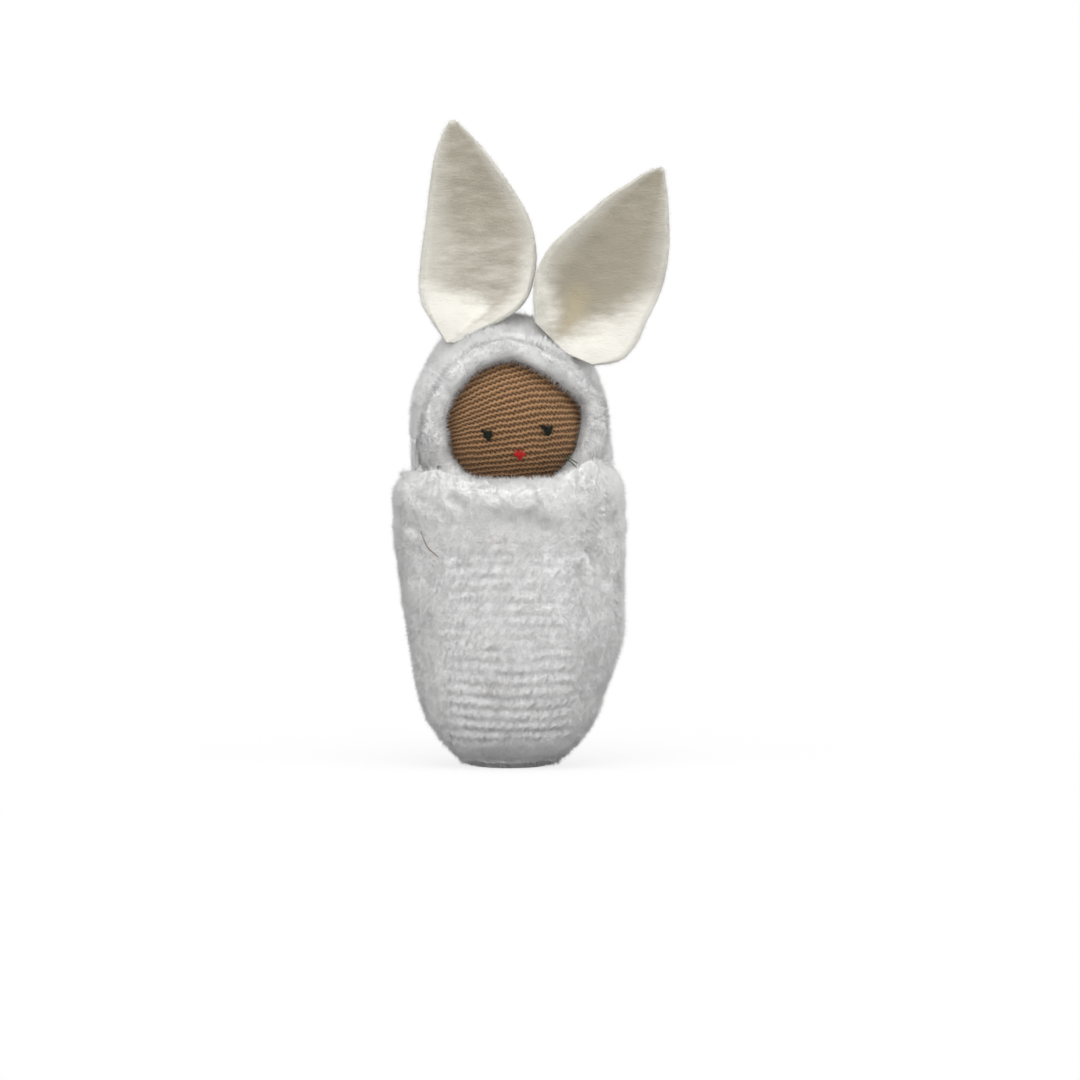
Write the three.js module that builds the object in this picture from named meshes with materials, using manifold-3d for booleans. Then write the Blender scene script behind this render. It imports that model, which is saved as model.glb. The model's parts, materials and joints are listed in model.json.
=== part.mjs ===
// A pocket bunting doll: a stuffed plush sack with a folded collar, a knit head in a plush hood,
// and two pinched felt ears. Millimetres, +Z up, the face looks along -Y, the base stands on Z = 0.
import * as THREE from "three";
import Module from "manifold-3d";

const { Manifold, Mesh } = await initManifold();

// Clearance left between two pieces that touch.
const GAP = 0.3;

// How far the head is meant to move, which sets the room left round it.
const NOD = THREE.MathUtils.degToRad(8);
const TURN = THREE.MathUtils.degToRad(25);

// Head: a wound wool ball in gauze and a knit skin, gathered below into a neck.
const HEAD_RADIUS = 20;
const SKIN_WALL = 1;
const GAUZE_WALL = 0.6;
const NECK_RADIUS = 6.5;
const NECK_LENGTH = 6;
const NECK_ABOVE_SACK = 1;
const NECK_TIE_DROP = 3.2;
const NECK_TIE_THREAD = 1;

// Hood: a plush cap over the ball, open at the face, its front edge rolled.
const HOOD_WALL = 4.7;
const HOOD_HEM_DROP = 16;
const HOOD_FRONT_HEM_DROP = 10.5;
const HOOD_FRONT_STEP = 8;
const EDGE_ROLL_RADIUS = 2.2;
const SEAM_THREAD = 0.6;
const HOOD_GATHER_THREAD = 0.9;
const FACE_CUT_DEPTH = 5;

// Middle of the rolled edge on the ball, from the lower left over the top to the lower right: degrees
// to the side of straight ahead, and up.
const EDGE_DEGREES = [
  [-45.48, -26.96], [-50.8, -12.84], [-49.92, 2.55], [-41.05, 23.02], [-25.45, 39.13], [-1.86, 46.79],
  [22.22, 39.13], [41.42, 25.82], [58.11, 11.8], [62.37, -6.64], [61.35, -26.96],
];

// Features stitched on the face: degrees to the side of straight ahead, and up.
const EYE_LEFT_DEGREES = [-14.57, -11.65];
const EYE_RIGHT_DEGREES = [28.24, -8.5];
const EYE_WIDTH = 2.9;
const EYE_HEIGHT = 2.7;
const MOUTH_DEGREES = [8.49, -25.69];
const MOUTH_WIDTH = 3.2;
const MOUTH_HEIGHT = 3.2;
const STITCH_DEPTH = 0.6;
const THREAD_END_DEGREES = [[41.06, -25.98], [46.9, -27.51], [55.16, -28.13]];
const THREAD_END_DIAMETER = 0.7;

// Neck roving: a ring of wool under the ball.
const ROVING_RADIUS = 15.2;
const ROVING_BORE = 11.5;

// Sack: height of its open top, wall, and half-widths by share of the height (left, right, front, back).
const SACK_HEIGHT = 60;
const SACK_WALL = 2.2;
const SACK_OUTLINE = [
  [0, 9.8, 9.8, 9.4, 9.4],
  [0.042, 14, 14.8, 13.6, 13.6],
  [0.15, 19.3, 20.4, 18.8, 18.8],
  [0.3, 22.6, 23.6, 22, 22],
  [0.45, 24.1, 27, 24.6, 24.4],
  [0.57, 25.2, 28.6, 26, 25.6],
  [0.77, 26.9, 28.4, 27.4, 26.8],
];

// Collar: the sack's folded top edge.
const COLLAR_WALL = 2.3;
const COLLAR_HEIGHT = 13.7;
const COLLAR_FRONT_HEIGHT = 12;
const COLLAR_FRONT_HALF_ANGLE = THREE.MathUtils.degToRad(44);
const COLLAR_OVERHANG = 0.9;
const COLLAR_FRONT_BULGE = 0.5;
const COLLAR_THREAD = 0.8;

// Ears: felt leaves pinched along a crease, each held to the hood by two stitches along its seam. Their
// forms are drawn as shares of one size.
const EAR_SIZE = 50;
const EAR_FELT = 1.6;
const EAR_LIFT = 0.6;
const EAR_TACK_DIAMETER = 0.7;
const EAR_TACK_LENGTH = 3.6;
const EAR_TACK_APART = 3;

// Each ear from its seat on the hood: the seat's degrees to the side and up, the tilt of its seam in
// degrees, then base to tip its edges and crease as seen from the front (across, up), how far the crease
// lies behind the seat, and how far each edge stands forward of the crease.
const EAR_LEFT = {
  seat: [-29.25, 56.42],
  seamTilt: 20,
  left: [
    [-0.166, -0.06], [-0.244, 0.054], [-0.296, 0.164], [-0.304, 0.31], [-0.284, 0.56], [-0.238, 0.84],
    [-0.176, 0.992], [-0.14, 1.04],
  ],
  right: [
    [-0.126, -0.06], [-0.042, -0.024], [0.106, 0.05], [0.2, 0.12], [0.252, 0.22], [0.266, 0.36],
    [0.26, 0.54], [0.206, 0.66], [0.068, 0.852], [-0.096, 1.014], [-0.14, 1.04],
  ],
  crease: [
    [-0.146, -0.06], [-0.052, 0.044], [0.048, 0.154], [0.092, 0.252], [0.092, 0.4], [0.052, 0.578],
    [-0.016, 0.776], [-0.14, 1.04],
  ],
  back: [0, 0.03, 0.084, 0.116, 0.12, 0.106, 0.074, 0.042, 0.012],
  leftForward: [0, 0.048, 0.09, 0.1, 0.08, 0.06, 0.04, 0.02, 0],
  rightForward: [0, 0.04, 0.09, 0.11, 0.09, 0.06, 0.04, 0.02, 0],
};
const EAR_RIGHT = {
  seat: [44.38, 40.86],
  seamTilt: -30,
  left: [
    [-0.132, 0.136], [-0.136, 0.27], [-0.124, 0.398], [-0.04, 0.556], [0.148, 0.728], [0.3, 0.818],
    [0.4, 0.872], [0.488, 0.896],
  ],
  right: [
    [0.148, -0.08], [0.276, -0.056], [0.354, 0.022], [0.41, 0.126], [0.494, 0.294], [0.526, 0.48],
    [0.518, 0.69], [0.504, 0.8], [0.488, 0.896],
  ],
  crease: [
    [0, -0.02], [0.012, 0.052], [0.064, 0.172], [0.114, 0.304], [0.184, 0.472], [0.292, 0.66],
    [0.488, 0.896],
  ],
  back: [-0.004, 0.036, 0.086, 0.104, 0.096, 0.072, 0.04, 0.01, -0.02],
  leftForward: [0.01, 0.08, 0.13, 0.14, 0.11, 0.07, 0.04, 0.02, 0],
  rightForward: [0.01, 0.06, 0.1, 0.1, 0.08, 0.06, 0.04, 0.02, 0],
};

const HEAD_ABOVE_SACK = HEAD_RADIUS + NECK_LENGTH + NECK_ABOVE_SACK;
const HEAD_CENTRE = new THREE.Vector3(0, 0, SACK_HEIGHT + HEAD_ABOVE_SACK);
const HOOD_INNER = HEAD_RADIUS + GAP;
const HOOD_RADIUS = HOOD_INNER + HOOD_WALL;
const EDGE_RADIUS = HOOD_INNER + EDGE_ROLL_RADIUS;
const COLLAR_INNER = HOOD_RADIUS * Math.cos(NOD) + HOOD_HEM_DROP * Math.sin(NOD) + GAP;
const COLLAR_OUTER = COLLAR_INNER + COLLAR_WALL;
const SACK_TOP_RADIUS = COLLAR_OUTER - COLLAR_OVERHANG;

const RING_SIDES = 32;
const ROLL_SIDES = 10;
const THREAD_SIDES = 6;
const SACK_RINGS = 12;
const COLLAR_SIDES = 12;

async function initManifold() {
  const module = await Module();
  module.setup();
  return module;
}

function solidFrom(geometry) {
  const merged = new Map();
  const points = [];
  const source = geometry.attributes.position;
  const order = geometry.index ? Array.from(geometry.index.array) : [...Array(source.count).keys()];
  const remap = order.map((i) => {
    const xyz = [source.getX(i), source.getY(i), source.getZ(i)];
    const key = xyz.map((v) => Math.round(v * 1e4)).join(",");
    if (!merged.has(key)) {
      merged.set(key, points.length / 3);
      points.push(...xyz);
    }
    return merged.get(key);
  });
  const faces = [];
  for (let i = 0; i < remap.length; i += 3) {
    const [a, b, c] = remap.slice(i, i + 3);
    if (a !== b && b !== c && c !== a) faces.push(a, b, c);
  }
  const mesh = new Mesh({
    numProp: 3,
    vertProperties: new Float32Array(points),
    triVerts: new Uint32Array(faces),
  });
  return new Manifold(mesh);
}

function geometryFrom(solid) {
  const mesh = solid.getMesh();
  const geometry = new THREE.BufferGeometry();
  geometry.setAttribute("position", new THREE.BufferAttribute(new Float32Array(mesh.vertProperties), 3));
  geometry.setIndex(Array.from(mesh.triVerts));
  geometry.computeVertexNormals();
  return geometry;
}

function subtract(geometry, cutters) {
  return geometryFrom(cutters.reduce((solid, cutter) => solid.subtract(solidFrom(cutter)), solidFrom(geometry)));
}

// Closed skin through a row of rings with equal counts of points. The ends are capped, or, for a
// ring-shaped body, the last ring joins the first.
function loft(rings, joined = false) {
  const sides = rings[0].length;
  const points = rings.flat();
  const faces = [];
  const last = joined ? rings.length : rings.length - 1;
  for (let i = 0; i < last; i += 1) {
    const next = (i + 1) % rings.length;
    for (let j = 0; j < sides; j += 1) {
      const k = (j + 1) % sides;
      faces.push(i * sides + j, i * sides + k, next * sides + k);
      faces.push(i * sides + j, next * sides + k, next * sides + j);
    }
  }
  if (!joined) {
    for (const [at, flip] of [[0, true], [rings.length - 1, false]]) {
      const middle = rings[at].reduce((sum, p) => sum.add(p), new THREE.Vector3()).divideScalar(sides);
      points.push(middle);
      for (let j = 0; j < sides; j += 1) {
        const a = at * sides + j;
        const b = at * sides + ((j + 1) % sides);
        faces.push(...(flip ? [b, a, points.length - 1] : [a, b, points.length - 1]));
      }
    }
  }
  const geometry = new THREE.BufferGeometry().setFromPoints(points);
  geometry.setIndex(faces);
  geometry.computeVertexNormals();
  return geometry;
}

// Body of revolution about Z from a closed outline of (radius, height) points.
function turned(outline, sides = RING_SIDES) {
  const closed = [...outline, outline[0]].map(([r, z]) => new THREE.Vector2(r, z));
  return new THREE.LatheGeometry(closed, sides).rotateX(Math.PI / 2);
}

// Points on an arc about the origin, (radius, height), by angle from straight down.
function arc(radius, from, to, steps) {
  return Array.from({ length: steps + 1 }, (_, i) => {
    const angle = from + ((to - from) * i) / steps;
    return [radius * Math.sin(angle), -radius * Math.cos(angle)];
  });
}

function torus(radius, thread, height) {
  return new THREE.TorusGeometry(radius, thread / 2, THREAD_SIDES, RING_SIDES).translate(0, 0, height);
}

function tube(points, radius, steps, sides = THREAD_SIDES) {
  const shape = new THREE.Shape().absarc(0, 0, radius, 0, 2 * Math.PI, false);
  const path = new THREE.CatmullRomCurve3(points);
  return new THREE.ExtrudeGeometry(shape, {
    steps, extrudePath: path, bevelEnabled: false, curveSegments: sides / 2,
  });
}

// Point on a ball about the head's centre, relative to that centre, by degrees to the side and up.
function onBall(radius, [side, up]) {
  const [a, b] = [side, up].map(THREE.MathUtils.degToRad);
  return new THREE.Vector3(Math.cos(b) * Math.sin(a), -Math.cos(b) * Math.cos(a), Math.sin(b)).multiplyScalar(radius);
}

// Point on the front of such a ball seen straight ahead, by its place across and up.
function onFront(radius, [x, z]) {
  return new THREE.Vector3(x, -Math.sqrt(radius * radius - x * x - z * z), z);
}

function material(color) {
  return new THREE.MeshStandardMaterial({ color, roughness: 0.9, metalness: 0 });
}

const PLUSH = material(0xe9e8e4);
const WOOL = material(0xefe8da);
const KNIT = material(0x93704f);
const GAUZE = material(0xf3efe6);
const FELT = material(0xf1ecdc);
const PALE_THREAD = material(0xdcd6ca);
const DARK_THREAD = material(0x23261f);
const RED_THREAD = material(0xb03030);

function piece(name, geometry, finish) {
  const mesh = new THREE.Mesh(geometry, finish);
  mesh.name = name;
  return mesh;
}

// Outline of the sack on each side (left, right, front, back): half-width and height, base to top.
function sackOutlines() {
  const top = [1, SACK_TOP_RADIUS, SACK_TOP_RADIUS, SACK_TOP_RADIUS, SACK_TOP_RADIUS];
  const rows = [...SACK_OUTLINE, top];
  return [1, 2, 3, 4].map(
    (side) => new THREE.SplineCurve(rows.map((row) => new THREE.Vector2(row[side], row[0] * SACK_HEIGHT))),
  );
}

// Ring round the sack at a share of its outline, set in from the outside by a depth.
function sackRing(outlines, share, inset) {
  const [left, right, front, back] = outlines.map((curve) => {
    const along = curve.getTangent(share);
    return curve.getPoint(share).add(new THREE.Vector2(-along.y, along.x).multiplyScalar(inset));
  });
  return Array.from({ length: RING_SIDES }, (_, j) => {
    const angle = (2 * Math.PI * j) / RING_SIDES;
    const c = Math.cos(angle);
    const s = Math.sin(angle);
    const wide = c < 0 ? left : right;
    const deep = s < 0 ? front : back;
    return new THREE.Vector3(c * wide.x, s * deep.x, c * c * wide.y + s * s * deep.y);
  });
}

// Rings at a depth inside the sack's outside, from its base up to a level top.
function sackRings(inset, top) {
  const outlines = sackOutlines();
  const rings = Array.from({ length: SACK_RINGS + 1 }, (_, i) => sackRing(outlines, i / SACK_RINGS, inset));
  rings[SACK_RINGS].forEach((point) => point.setZ(top));
  return rings;
}

function buildSack() {
  return loft([...sackRings(0, SACK_HEIGHT), ...sackRings(SACK_WALL, SACK_HEIGHT).reverse()]);
}

function buildStuffing() {
  return loft(sackRings(SACK_WALL + GAP, SACK_HEIGHT - GAP));
}

// Share of the thick front of the collar at an angle from straight ahead.
function collarFront(angle) {
  const away = Math.min(1, Math.abs(angle) / COLLAR_FRONT_HALF_ANGLE);
  return 0.5 + 0.5 * Math.cos(Math.PI * away);
}

function buildCollar() {
  const steps = 44;
  const bottom = SACK_HEIGHT + GAP;
  const frontInner = ROVING_RADIUS + 3 * GAP;
  const rings = Array.from({ length: steps }, (_, i) => {
    const angle = Math.PI - (2 * Math.PI * i) / steps;
    const front = collarFront(angle);
    const inner = THREE.MathUtils.lerp(COLLAR_INNER, frontInner, front);
    const outer = COLLAR_OUTER + COLLAR_FRONT_BULGE * front;
    const height = THREE.MathUtils.lerp(COLLAR_HEIGHT, COLLAR_FRONT_HEIGHT, front);
    return Array.from({ length: COLLAR_SIDES }, (_unused, j) => {
      const turn = (2 * Math.PI * j) / COLLAR_SIDES;
      const across = Math.sign(Math.cos(turn)) * Math.abs(Math.cos(turn)) ** 0.8;
      const r = (inner + outer) / 2 + ((outer - inner) / 2) * across;
      const z = bottom + (height / 2) * (1 + Math.sin(turn));
      return new THREE.Vector3(r * Math.sin(angle), -r * Math.cos(angle), z);
    });
  });
  return loft(rings, true);
}

function buildRoving() {
  const dish = HEAD_RADIUS + GAP;
  const floor = GAP - HEAD_ABOVE_SACK;
  const seat = arc(dish, Math.asin(ROVING_RADIUS / dish), Math.asin(ROVING_BORE / dish), 5);
  return turned([[ROVING_BORE, floor], [ROVING_RADIUS, floor], ...seat]);
}

// Ball with a neck below: half outline from the neck's foot to the crown.
function headOutline(radius, neck, foot, steps) {
  return [[neck, foot], ...arc(radius, Math.asin(neck / radius), Math.PI, steps)];
}

function buildSkin() {
  const foot = -HEAD_RADIUS - NECK_LENGTH;
  const outside = headOutline(HEAD_RADIUS, NECK_RADIUS, foot, 13);
  const inside = headOutline(HEAD_RADIUS - SKIN_WALL, NECK_RADIUS - SKIN_WALL, foot, 11);
  return turned([...outside, ...inside.reverse()]);
}

function buildGauze() {
  const radius = HEAD_RADIUS - SKIN_WALL - GAP;
  const neck = NECK_RADIUS - SKIN_WALL - GAP;
  const foot = -HEAD_RADIUS - NECK_LENGTH / 2;
  const outside = headOutline(radius, neck, foot, 10);
  const inside = headOutline(radius - GAUZE_WALL, neck - GAUZE_WALL, foot, 9);
  return turned([...outside, ...inside.reverse()], 24);
}

function buildCore() {
  const radius = HEAD_RADIUS - SKIN_WALL - GAUZE_WALL - 3 * GAP;
  return new THREE.SphereGeometry(radius, 20, 12).rotateX(Math.PI / 2);
}

// The rolled edge's path moved outward, seen from the front, by a distance.
function edgeCourse(outward, steps) {
  const middle = EDGE_DEGREES.map((at) => onBall(EDGE_RADIUS, at));
  const curve = new THREE.SplineCurve(middle.map(({ x, z }) => new THREE.Vector2(x, z)));
  return Array.from({ length: steps + 1 }, (_, i) => {
    const at = curve.getPoint(i / steps);
    const along = curve.getTangent(i / steps);
    return [at.x - along.y * outward, at.y + along.x * outward];
  });
}

function buildHood() {
  const dome = arc(HOOD_RADIUS, Math.PI / 2, Math.PI, 10);
  const cap = turned([[0, -HOOD_HEM_DROP], [HOOD_RADIUS, -HOOD_HEM_DROP], ...dome]);
  const ball = new THREE.SphereGeometry(HOOD_INNER, 32, 18).rotateX(Math.PI / 2);
  const bore = new THREE.CylinderGeometry(HOOD_INNER, HOOD_INNER, 2 * HOOD_HEM_DROP, 32)
    .rotateX(Math.PI / 2)
    .translate(0, 0, -HOOD_HEM_DROP);
  const rim = edgeCourse(EDGE_ROLL_RADIUS + GAP, 24);
  const [first, last] = [rim[0], rim[rim.length - 1]];
  const below = -2 * HOOD_HEM_DROP;
  const outline = [[first[0], below], ...rim, [last[0], below]].map(([x, z]) => new THREE.Vector2(x, z));
  const face = new THREE.ExtrudeGeometry(new THREE.Shape(outline), { depth: HOOD_RADIUS, bevelEnabled: false })
    .rotateX(Math.PI / 2)
    .translate(0, -FACE_CUT_DEPTH, 0);
  const wide = 4 * HOOD_RADIUS;
  const lift = new THREE.BoxGeometry(wide, wide, wide)
    .translate(0, -wide / 2 - HOOD_FRONT_STEP, -wide / 2 - HOOD_FRONT_HEM_DROP);
  return subtract(cap, [ball, bore, face, lift]);
}

function buildEdge() {
  const points = edgeCourse(0, 20).map((at) => onFront(EDGE_RADIUS, at));
  return tube(points, EDGE_ROLL_RADIUS, 30, ROLL_SIDES);
}

function buildEdgeThread() {
  const points = edgeCourse(EDGE_ROLL_RADIUS, 20).map((at) => onFront(HOOD_RADIUS + GAP + SEAM_THREAD, at));
  return tube(points, SEAM_THREAD / 2, 30);
}

// Thread under the low hem, round the back from one front step of the hem to the other.
function buildGatherThread() {
  const radius = (HOOD_INNER + HOOD_RADIUS) / 2;
  const height = -HOOD_HEM_DROP - GAP - HOOD_GATHER_THREAD / 2;
  const half = Math.PI - Math.acos((HOOD_FRONT_STEP - HOOD_GATHER_THREAD) / radius);
  const points = Array.from({ length: 17 }, (_, i) => {
    const angle = half * (i / 8 - 1);
    return new THREE.Vector3(radius * Math.sin(angle), radius * Math.cos(angle), height);
  });
  return tube(points, HOOD_GATHER_THREAD / 2, 24);
}

// Flat stitched patch laid on the face, its outline given round its own centre.
function facePatch(name, at, outline, finish) {
  const shape = new THREE.Shape(outline.map(([x, z]) => new THREE.Vector2(x, z)));
  const geometry = new THREE.ExtrudeGeometry(shape, { depth: STITCH_DEPTH, bevelEnabled: false });
  const mesh = piece(name, geometry, finish);
  mesh.position.copy(onBall(HEAD_RADIUS + GAP, at));
  mesh.up.set(0, 0, 1);
  mesh.lookAt(mesh.position.clone().multiplyScalar(2));
  return mesh;
}

function eyeOutline() {
  const w = EYE_WIDTH / 2;
  const h = EYE_HEIGHT / 2;
  return [[-w, h], [-0.25 * w, 0.55 * h], [0.85 * w, 0.75 * h], [w, 0.2 * h], [0.2 * w, -h], [-0.5 * w, -0.5 * h]];
}

function mouthOutline() {
  const w = MOUTH_WIDTH / 2;
  const h = MOUTH_HEIGHT / 2;
  return [[-w, 0.35 * h], [-0.2 * w, h], [0.5 * w, 0.85 * h], [w, 0.3 * h], [0.15 * w, -h]];
}

function buildThreadEnd() {
  const radius = HEAD_RADIUS + GAP + THREAD_END_DIAMETER;
  return tube(THREAD_END_DEGREES.map((at) => onBall(radius, at)), THREAD_END_DIAMETER / 2, 6);
}

// An ear's courses as curves: those seen from the front, and the depths by share of the length.
function earCurves({ left, right, crease, back, leftForward, rightForward }) {
  const seen = (course) => new THREE.SplineCurve(
    course.map(([across, up]) => new THREE.Vector2(across * EAR_SIZE, up * EAR_SIZE)),
  );
  const depth = (values) => new THREE.SplineCurve(
    values.map((value, i) => new THREE.Vector2(i / (values.length - 1), value * EAR_SIZE)),
  );
  return {
    left: seen(left), right: seen(right), crease: seen(crease),
    back: depth(back), leftForward: depth(leftForward), rightForward: depth(rightForward),
  };
}

// Middle of the felt at a share t of its length, and s from -1 at the left edge to 1 at the right edge.
// The crease is sharp at the base and opens towards the tip.
function earPoint(curves, t, s) {
  const open = 0.1 + 0.55 * THREE.MathUtils.smoothstep(t, 0.05, 0.6);
  const whole = 1 + Math.hypot(1, open);
  const toLeft = (Math.hypot(s, open) - s) / whole;
  const toRight = (Math.hypot(s, open) + s) / whole;
  const crease = curves.crease.getPointAt(t);
  const left = curves.left.getPointAt(t).sub(crease).multiplyScalar(toLeft);
  const right = curves.right.getPointAt(t).sub(crease).multiplyScalar(toRight);
  const seen = crease.add(left).add(right);
  const forward = curves.leftForward.getPoint(t).y * toLeft + curves.rightForward.getPoint(t).y * toRight;
  return new THREE.Vector3(seen.x, curves.back.getPoint(t).y - forward, seen.y);
}

function earNormal(curves, t, s) {
  const step = 1e-3;
  const along = earPoint(curves, t + step, s).sub(earPoint(curves, t - step, s));
  const across = earPoint(curves, t, s + step).sub(earPoint(curves, t, s - step));
  return across.cross(along).normalize();
}

function buildEar(form) {
  const curves = earCurves(form);
  const rows = 18;
  const columns = 8;
  const rings = Array.from({ length: rows + 1 }, (_, i) => {
    const t = 0.004 + (0.981 * i) / rows;
    const side = (sign) => Array.from({ length: columns + 1 }, (_unused, j) => {
      const s = sign * ((2 * j) / columns - 1);
      return earPoint(curves, t, s).addScaledVector(earNormal(curves, t, s), (sign * EAR_FELT) / 2);
    });
    return [...side(1), ...side(-1)];
  });
  return loft(rings);
}

function placeEar(name, form) {
  const ear = piece(name, buildEar(form), FELT);
  ear.position.copy(onBall(HOOD_RADIUS + GAP + EAR_LIFT, form.seat));
  return ear;
}

// A stitch on the hood in front of an ear's foot, along its seam.
function placeTack(name, { seat, seamTilt }, hand) {
  const radius = HOOD_RADIUS + GAP + EAR_TACK_DIAMETER / 2;
  const at = onBall(radius, seat);
  const tilt = THREE.MathUtils.degToRad(seamTilt);
  const out = at.clone().normalize();
  const seam = new THREE.Vector3(Math.cos(tilt), 0, Math.sin(tilt)).projectOnPlane(out).normalize();
  const front = seam.clone().cross(out);
  at.addScaledVector(seam, hand * EAR_TACK_APART);
  at.addScaledVector(front, EAR_FELT + EAR_TACK_DIAMETER);
  at.setLength(radius);
  const straight = EAR_TACK_LENGTH - EAR_TACK_DIAMETER;
  const body = new THREE.CapsuleGeometry(EAR_TACK_DIAMETER / 2, straight, 2, THREAD_SIDES);
  const mesh = piece(name, body, PALE_THREAD);
  mesh.position.copy(at);
  mesh.quaternion.setFromUnitVectors(new THREE.Vector3(0, 1, 0), seam);
  return mesh;
}

function buildHead() {
  const head = new THREE.Group();
  head.position.copy(HEAD_CENTRE);
  const tieRadius = NECK_RADIUS + GAP + NECK_TIE_THREAD / 2;
  head.add(
    piece("neck_roving", buildRoving(), WOOL),
    piece("head_skin", buildSkin(), KNIT),
    piece("head_gauze", buildGauze(), GAUZE),
    piece("head_core", buildCore(), WOOL),
    piece("neck_tie", torus(tieRadius, NECK_TIE_THREAD, -HEAD_RADIUS - NECK_TIE_DROP), PALE_THREAD),
    facePatch("eye_left", EYE_LEFT_DEGREES, eyeOutline(), DARK_THREAD),
    facePatch("eye_right", EYE_RIGHT_DEGREES, eyeOutline(), DARK_THREAD),
    facePatch("mouth", MOUTH_DEGREES, mouthOutline(), RED_THREAD),
    piece("thread_end", buildThreadEnd(), DARK_THREAD),
    piece("hood", buildHood(), PLUSH),
    piece("hood_edge", buildEdge(), PLUSH),
    piece("hood_edge_thread", buildEdgeThread(), PALE_THREAD),
    piece("hood_gather_thread", buildGatherThread(), PALE_THREAD),
    placeEar("ear_left", EAR_LEFT),
    placeEar("ear_right", EAR_RIGHT),
    placeTack("ear_left_tack_outer", EAR_LEFT, -1),
    placeTack("ear_left_tack_inner", EAR_LEFT, 1),
    placeTack("ear_right_tack_inner", EAR_RIGHT, -1),
    placeTack("ear_right_tack_outer", EAR_RIGHT, 1),
  );
  return head;
}

function buildDoll() {
  const doll = new THREE.Group();
  const seamRadius = SACK_TOP_RADIUS + GAP + COLLAR_THREAD / 2;
  doll.add(
    piece("bunting_sack", buildSack(), PLUSH),
    piece("body_stuffing", buildStuffing(), WOOL),
    piece("collar_fold", buildCollar(), PLUSH),
    piece("collar_seam_thread", torus(seamRadius, COLLAR_THREAD, SACK_HEIGHT - COLLAR_THREAD), PALE_THREAD),
    buildHead(),
  );
  return doll;
}

export default buildDoll();
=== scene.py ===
"""A pocket bunting doll: a stuffed plush sack with a folded collar, a knit head in a plush hood, and two
pinched felt ears, dressed over its fixed frame. Sizes are millimetres until a mesh is made."""

from __future__ import annotations

import json
import logging
import math
from dataclasses import dataclass, field, replace
from enum import Enum
from typing import Any, Callable, ClassVar, Sequence

import bpy
import numpy as np
from mathutils import Matrix, Vector
from mathutils.bvhtree import BVHTree

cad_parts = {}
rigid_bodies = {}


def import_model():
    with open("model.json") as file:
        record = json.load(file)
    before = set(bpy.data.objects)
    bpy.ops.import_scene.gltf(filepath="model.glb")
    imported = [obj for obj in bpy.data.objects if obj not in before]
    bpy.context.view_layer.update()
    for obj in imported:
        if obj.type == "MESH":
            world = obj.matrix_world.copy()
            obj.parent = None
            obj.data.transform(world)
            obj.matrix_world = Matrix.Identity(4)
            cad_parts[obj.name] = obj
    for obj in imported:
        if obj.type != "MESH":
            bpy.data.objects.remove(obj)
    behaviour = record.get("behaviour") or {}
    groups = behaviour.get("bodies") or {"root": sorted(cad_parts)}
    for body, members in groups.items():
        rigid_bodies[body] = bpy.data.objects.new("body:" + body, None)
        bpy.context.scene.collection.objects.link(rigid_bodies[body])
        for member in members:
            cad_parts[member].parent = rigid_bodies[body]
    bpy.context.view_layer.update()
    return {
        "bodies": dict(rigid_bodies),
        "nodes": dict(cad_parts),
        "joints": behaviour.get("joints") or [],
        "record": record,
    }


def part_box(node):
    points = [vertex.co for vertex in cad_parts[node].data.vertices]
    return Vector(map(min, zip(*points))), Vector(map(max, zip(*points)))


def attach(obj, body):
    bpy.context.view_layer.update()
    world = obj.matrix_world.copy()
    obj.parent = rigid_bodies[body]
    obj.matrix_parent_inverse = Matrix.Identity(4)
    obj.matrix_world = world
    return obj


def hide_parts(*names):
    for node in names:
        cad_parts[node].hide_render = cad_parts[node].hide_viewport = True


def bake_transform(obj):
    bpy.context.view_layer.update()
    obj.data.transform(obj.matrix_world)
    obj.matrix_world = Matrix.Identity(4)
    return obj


LOG = logging.getLogger("bunting_doll")
MM = 0.001

# The cloth simulations run at this many times the real size.
SIM_SCALE = 10.0

# Cloth is shaded by so much for each millimetre that it is pressed in, up to a most.
PRESS_SHADE = 1.2
MOST_PRESSED = 1.5

# Fibres: the map that their shades are read from, the most faces in a piece, how deep their roots lie, how
# much of each third of the map one kind takes up, how far from its edge, and how low the tips may end.
PILE_UV = "OFBake"
MOST_FACES = 180_000
ROOT_DEPTH = 0.1
PLAIN_SHADES = 0.32
SHADE_EDGE = 0.01
TIP_FLOOR = 0.1

# What the knit's relief and its colours share: the rows' wave and the holes' width in rows, where in a stitch
# its hole lies, in radians, and how sharply the hole ends.
ROW_WAVE = 0.09
HOLE_WIDTH = 0.27
HOLE_PHASE = 1.3
HOLE_SHARPNESS = 1.4

# Numbers that stir a place and a seed into noise.
HASH_PRIMES = np.array([73856093, 19349663, 83492791])
HASH_STIR = 1274126177
SEED_STEP = 40503
SEED_SHIFT = 17.31

Piece = bpy.types.Object
Material = bpy.types.Material
Socket = bpy.types.NodeSocket
Points = np.ndarray
Values = np.ndarray
Mask = Callable[[Points, Points], Values]
Shape = Callable[[Points, Points], Points]
Colour = tuple[float, float, float]
Knots = Sequence[Sequence[float]]

# Where a change begins, and where it is whole.
Span = tuple[float, float]

HEAD_CENTRE = np.array([0.0, 0.0, 87.0])
LEVEL = np.array([1.0, 1.0, 0.0])


class Body(str, Enum):
    """Moving bodies of the frame."""

    BUNTING = "bunting"
    NECK = "neck"
    HEAD = "head"
    LEFT_EAR = "left_ear"
    RIGHT_EAR = "right_ear"


class Slot(str, Enum):
    """Material slots of the record."""

    PLUSH = "plush"
    FELT = "felt"
    KNIT = "knit"
    WOOL = "wool"
    GAUZE = "gauze"
    PALE_THREAD = "pale_thread"
    DARK_THREAD = "dark_thread"
    RED_THREAD = "red_thread"


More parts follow.
